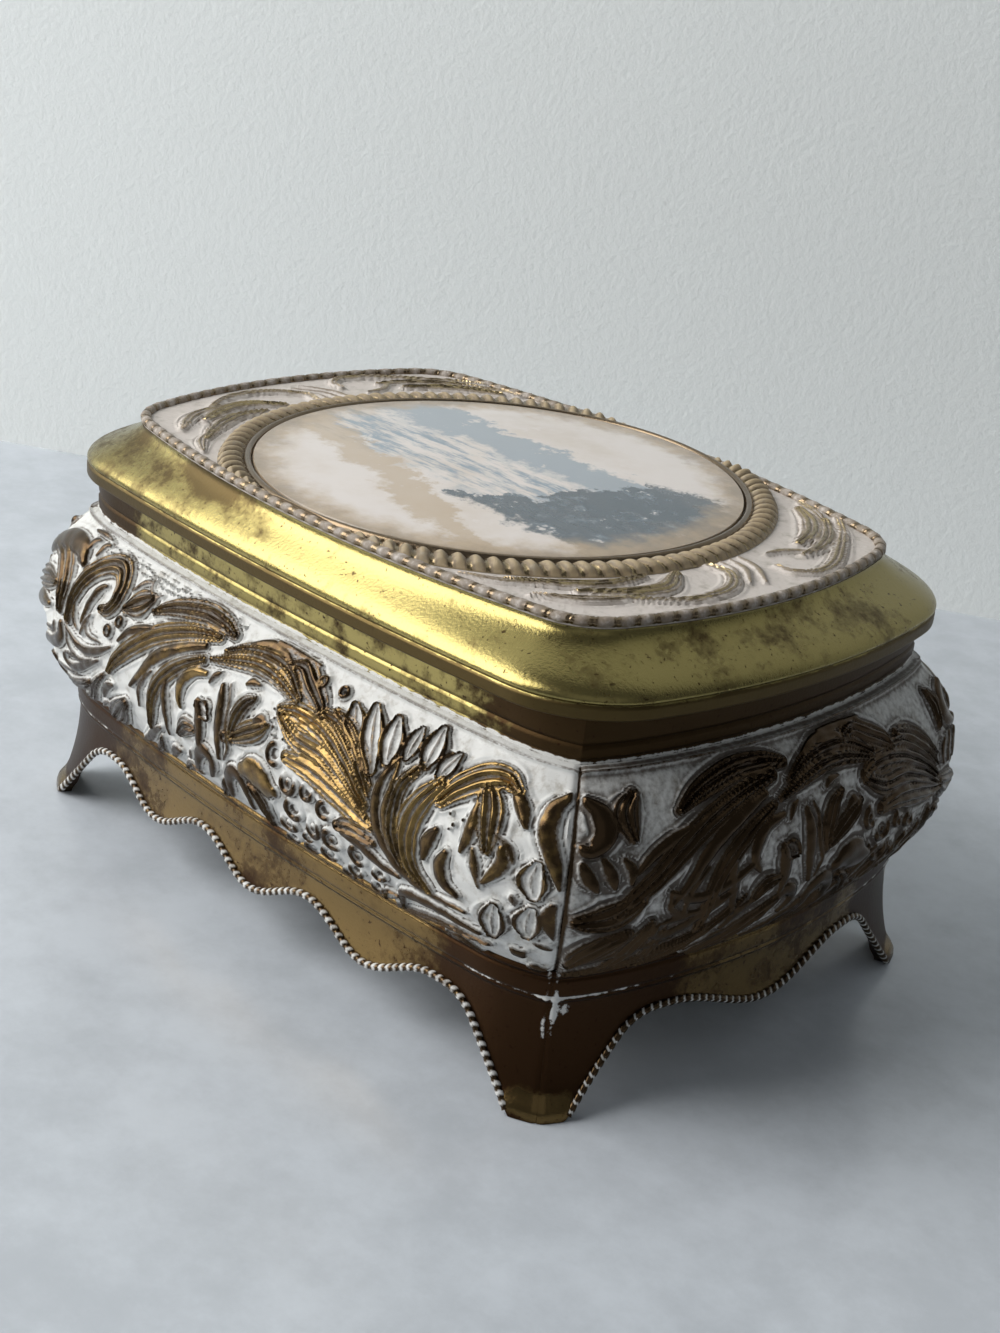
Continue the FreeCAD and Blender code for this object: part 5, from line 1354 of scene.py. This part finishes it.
class TRINKET_OT_linings(bpy.types.Operator):
    """Line the walls with velvet over card."""

    bl_idname = "trinket.linings"
    bl_label = "Wall linings"

    def execute(self, context):
        """Each lining is flat at its back; its face swells a little and puckers towards the top edge."""
        material = velvet()
        low, high = LINING_LOW[2] / MILLIMETRE, LINING_HIGH[2] / MILLIMETRE
        back, front, edge = LINING_BACK, LINING_FACE, LINING_EDGE
        for wall in walls():
            along = wall.columns("lining")[None, :]
            share = np.linspace(0.0, 1.0, LINING_ROWS)[:, None]
            turn = np.linspace(0.0, np.pi, 9)[1:-1, None]
            face_level = low + (high - edge - low) * share
            swell = 0.35 * np.sin(np.pi * share) ** 0.5
            pucker = 0.10 * np.sin(1.25 * along + 1.1 * np.sin(0.31 * along)) * smooth_step(0.72, 1.0, share)
            face = -(front - 0.35) - swell - pucker + 0.0 * along
            middle = (front + back) / 2.0 - 0.17
            top_out = -middle - (front - 0.35 - middle) * np.cos(turn) + 0.0 * along
            top_level = high - edge + edge * np.sin(turn) + 0.0 * along
            back_level = np.linspace(high - edge, low, 6)[:, None] + 0.0 * along
            outs = np.concatenate([face, top_out, np.full(back_level.shape, -back)])
            levels = np.concatenate([face_level + 0.0 * along, top_level, back_level])
            piece = shell(f"{wall.name}_velvet", wall.place(along, outs, levels), material)
            seat(piece, "base", "velvet", f"{wall.name}_lining")
        return {"FINISHED"}


def pad(name, outline, bottom, top, flat_at_low, material):
    """A thin cushion inside an outline: flat at its back, with a crowned face that draws in to a piped edge.

    Going out from the middle, the face keeps its height and then falls as 1 - share^10 to the power 0.4;
    shallow gathers run in from the edge. Bottom and top are in metres.
    """
    low, high = bottom / MILLIMETRE, top / MILLIMETRE
    x, y = outline
    turn = np.linspace(0.0, 2.0 * np.pi, x.shape[1], endpoint=False)[None, :]
    share = np.concatenate([np.linspace(0.0005, 0.85, 24), np.linspace(0.85, 1.0, 28)[1:]])[:, None]
    crown = (1.0 - share ** 10) ** 0.4 * (0.86 + 0.14 * np.cos(0.5 * np.pi * share))
    gathers = 0.045 * np.sin(86.0 * turn + 2.0 * np.sin(9.0 * turn)) * smooth_step(0.72, 0.97, share)
    face = np.clip(crown * (1.0 + gathers), 0.0, None)
    thick = high - low
    level = low + thick * face if flat_at_low else high - thick * face
    flat = low if flat_at_low else high
    rows = np.array([0.985, 0.6, 0.0005])[:, None]
    under = at_level(x * rows, y * rows, flat)
    points = np.concatenate([at_level(x * share, y * share, level), under])
    return shell(name, points, material, wrap_columns=True)


class TRINKET_OT_pads(bpy.types.Operator):
    """Lay the velvet pads on the floor and in the lid."""

    bl_idname = "trinket.pads"
    bl_label = "Pads"

    def execute(self, context):
        """Both pads follow the outline of what they lie in, at the sizes of their solids."""
        body, lid = body_sizes(), lid_sizes()
        material = velvet()
        inset = body.neck_half_length - PAD_HIGH[0] / MILLIMETRE
        plan = (body.neck_half_length, body.neck_half_width, body.long_bow, body.short_bow,
                body.corner_radius, -inset)
        outline = bowed_rectangle(*(np.full((1, 1), size) for size in plan))
        piece = pad("floor_velvet", outline, PAD_LOW[2], PAD_HIGH[2], True, material)
        seat(piece, "base", "velvet", "floor_pad")
        lid_inset = lid.top_half_length - LID_PAD_HIGH[0] / MILLIMETRE
        outline = cove_outline(0.0, -lid_inset)
        piece = pad("lid_velvet", outline, LID_PAD_LOW[2], LID_PAD_HIGH[2], False, material)
        seat(piece, "lid", "velvet", "lid_pad")
        return {"FINISHED"}


class TRINKET_OT_fittings(bpy.types.Operator):
    """Finish the hinge, the floor sheet, the corner straps and the cards."""

    bl_idname = "trinket.fittings"
    bl_label = "Fittings"

    def execute(self, context):
        """These keep their solids and get a material of their own."""
        brass = aged_brass("hinge_brass", "band_brass", "band_tarnish", 0.30, patch=4.0, share=0.4)
        tin = plain_sheet("tinned_sheet", "tin", 1.0, 0.42)
        card = plain_sheet("plain_card", "card", 0.0, 0.85)
        finishes = {
            "hinge_base_leaf": brass, "hinge_lid_leaf": brass, "hinge_pin": brass, "hinge_base_rivets": brass,
            "hinge_lid_rivets": brass, "bottom_plate": tin, "corner_clips": tin, "backing_card": card,
            "lid_board": card,
        }
        for name, material in finishes.items():
            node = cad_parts[name]
            node.data.materials.clear()
            node.data.materials.append(material)
        return {"FINISHED"}


# Stage


def lamp(name, place, aim, size, power, tint):
    """A square soft lamp that faces a point."""
    data = bpy.data.lights.new(name, "AREA")
    data.size, data.energy, data.color = size, power, tint
    light = bpy.data.objects.new(name, data)
    light.location = place
    back = unit(np.array(place) - np.array(aim))
    light.rotation_euler = (math.acos(back[2]), 0.0, math.atan2(back[0], -back[1]))
    bpy.context.scene.collection.objects.link(light)


class TRINKET_OT_stage(bpy.types.Operator):
    """Set the floor, the wall behind, the lamps and the camera."""

    bl_idname = "trinket.stage"
    bl_label = "Stage"

    def execute(self, context):
        """The camera stands at an azimuth, an elevation and a distance from its target, and is rolled."""
        scene = context.scene
        floor = [(-2.0, -2.0, 0.0), (2.0, -2.0, 0.0), (2.0, 2.0, 0.0), (-2.0, 2.0, 0.0)]
        wall = [(-1.599, -0.806, 0.0), (1.270, 1.020, 0.0), (1.270, 1.020, 1.6), (-1.599, -0.806, 1.6)]
        surfaces = (("stage_floor", floor, stone_floor()), ("stage_wall", wall, canvas_wall()))
        for name, corners, material in surfaces:
            mesh = bpy.data.meshes.new(name)
            mesh.from_pydata([(x, y, z - 0.0001) for x, y, z in corners], [], [(0, 1, 2, 3)])
            mesh.materials.append(material)
            plane = bpy.data.objects.new(name, mesh)
            scene.collection.objects.link(plane)
        lamp("window", (-0.75, -0.90, 0.82), (0.0, 0.0, 0.04), 1.2, 28.0, (1.0, 0.99, 0.97))
        lamp("fill", (0.7, -0.5, 0.6), (0.0, 0.0, 0.04), 0.8, 0.35, (0.95, 0.97, 1.0))
        world = bpy.data.worlds.new("soft_sky")
        world.use_nodes = True
        world.node_tree.nodes["Background"].inputs["Color"].default_value = (0.80, 0.84, 0.88, 1.0)
        world.node_tree.nodes["Background"].inputs["Strength"].default_value = 0.15
        scene.world = world
        scene.view_settings.view_transform = "Standard"
        azimuth, elevation, roll = math.radians(45.142), math.radians(24.253), math.radians(6.003)
        target, distance = np.array([0.0, 0.0, 0.0291]), 0.3435
        back = np.array([math.sin(azimuth) * math.cos(elevation), -math.cos(azimuth) * math.cos(elevation),
                         math.sin(elevation)])
        right = np.array([math.cos(azimuth), math.sin(azimuth), 0.0])
        up = np.cross(back, right)
        rolled_right = math.cos(roll) * right + math.sin(roll) * up
        rolled_up = math.cos(roll) * up - math.sin(roll) * right
        data = bpy.data.cameras.new("photo_camera")
        data.sensor_fit, data.sensor_width, data.lens = "AUTO", 36.0, 54.04
        data.shift_x, data.shift_y = 0.0196, 0.0358
        data.clip_start = 0.01
        camera = bpy.data.objects.new("photo_camera", data)
        place = target + distance * back
        matrix = np.eye(4)
        matrix[:3, 0], matrix[:3, 1], matrix[:3, 2], matrix[:3, 3] = rolled_right, rolled_up, back, place
        camera.matrix_world = matrix.T.tolist()
        scene.collection.objects.link(camera)
        scene.camera = camera
        return {"FINISHED"}


class TRINKET_PT_pieces(bpy.types.Panel):
    """Sizes, colours and pieces of the trinket box."""

    bl_idname = "TRINKET_PT_pieces"
    bl_label = "Trinket Box"
    bl_space_type = "VIEW_3D"
    bl_region_type = "UI"
    bl_category = "Trinket Box"

    def draw(self, context):
        """List the operators, then the sizes and colours."""
        for operator in OPERATORS:
            self.layout.operator(operator.bl_idname)
        for group in (context.scene.trinket_body, context.scene.trinket_lid, context.scene.trinket_colours):
            column = self.layout.column(align=True)
            for name in type(group).__annotations__:
                column.prop(group, name)


GROUPS = {"trinket_body": BodySizes, "trinket_lid": LidSizes, "trinket_colours": Colours}
OPERATORS = [
    TRINKET_OT_relief_walls, TRINKET_OT_neck_bands, TRINKET_OT_skirts, TRINKET_OT_rope_edges,
    TRINKET_OT_lid_cove, TRINKET_OT_lid_plate, TRINKET_OT_rope_ring, TRINKET_OT_picture,
    TRINKET_OT_linings, TRINKET_OT_pads, TRINKET_OT_fittings, TRINKET_OT_stage,
]


def register():
    """Make the sizes, colours, operators and panel known."""
    for kind in (*GROUPS.values(), *OPERATORS, TRINKET_PT_pieces):
        bpy.utils.register_class(kind)
    for name, group in GROUPS.items():
        setattr(bpy.types.Scene, name, bpy.props.PointerProperty(type=group))


def unregister():
    """Take away what register made known."""
    for name in GROUPS:
        delattr(bpy.types.Scene, name)
    for kind in (TRINKET_PT_pieces, *reversed(OPERATORS), *reversed(GROUPS.values())):
        bpy.utils.unregister_class(kind)


def main():
    """Build every piece in order."""
    register()
    for operator in OPERATORS:
        getattr(bpy.ops.trinket, operator.bl_idname.split(".")[1])()


if __name__ == "__main__":
    main()
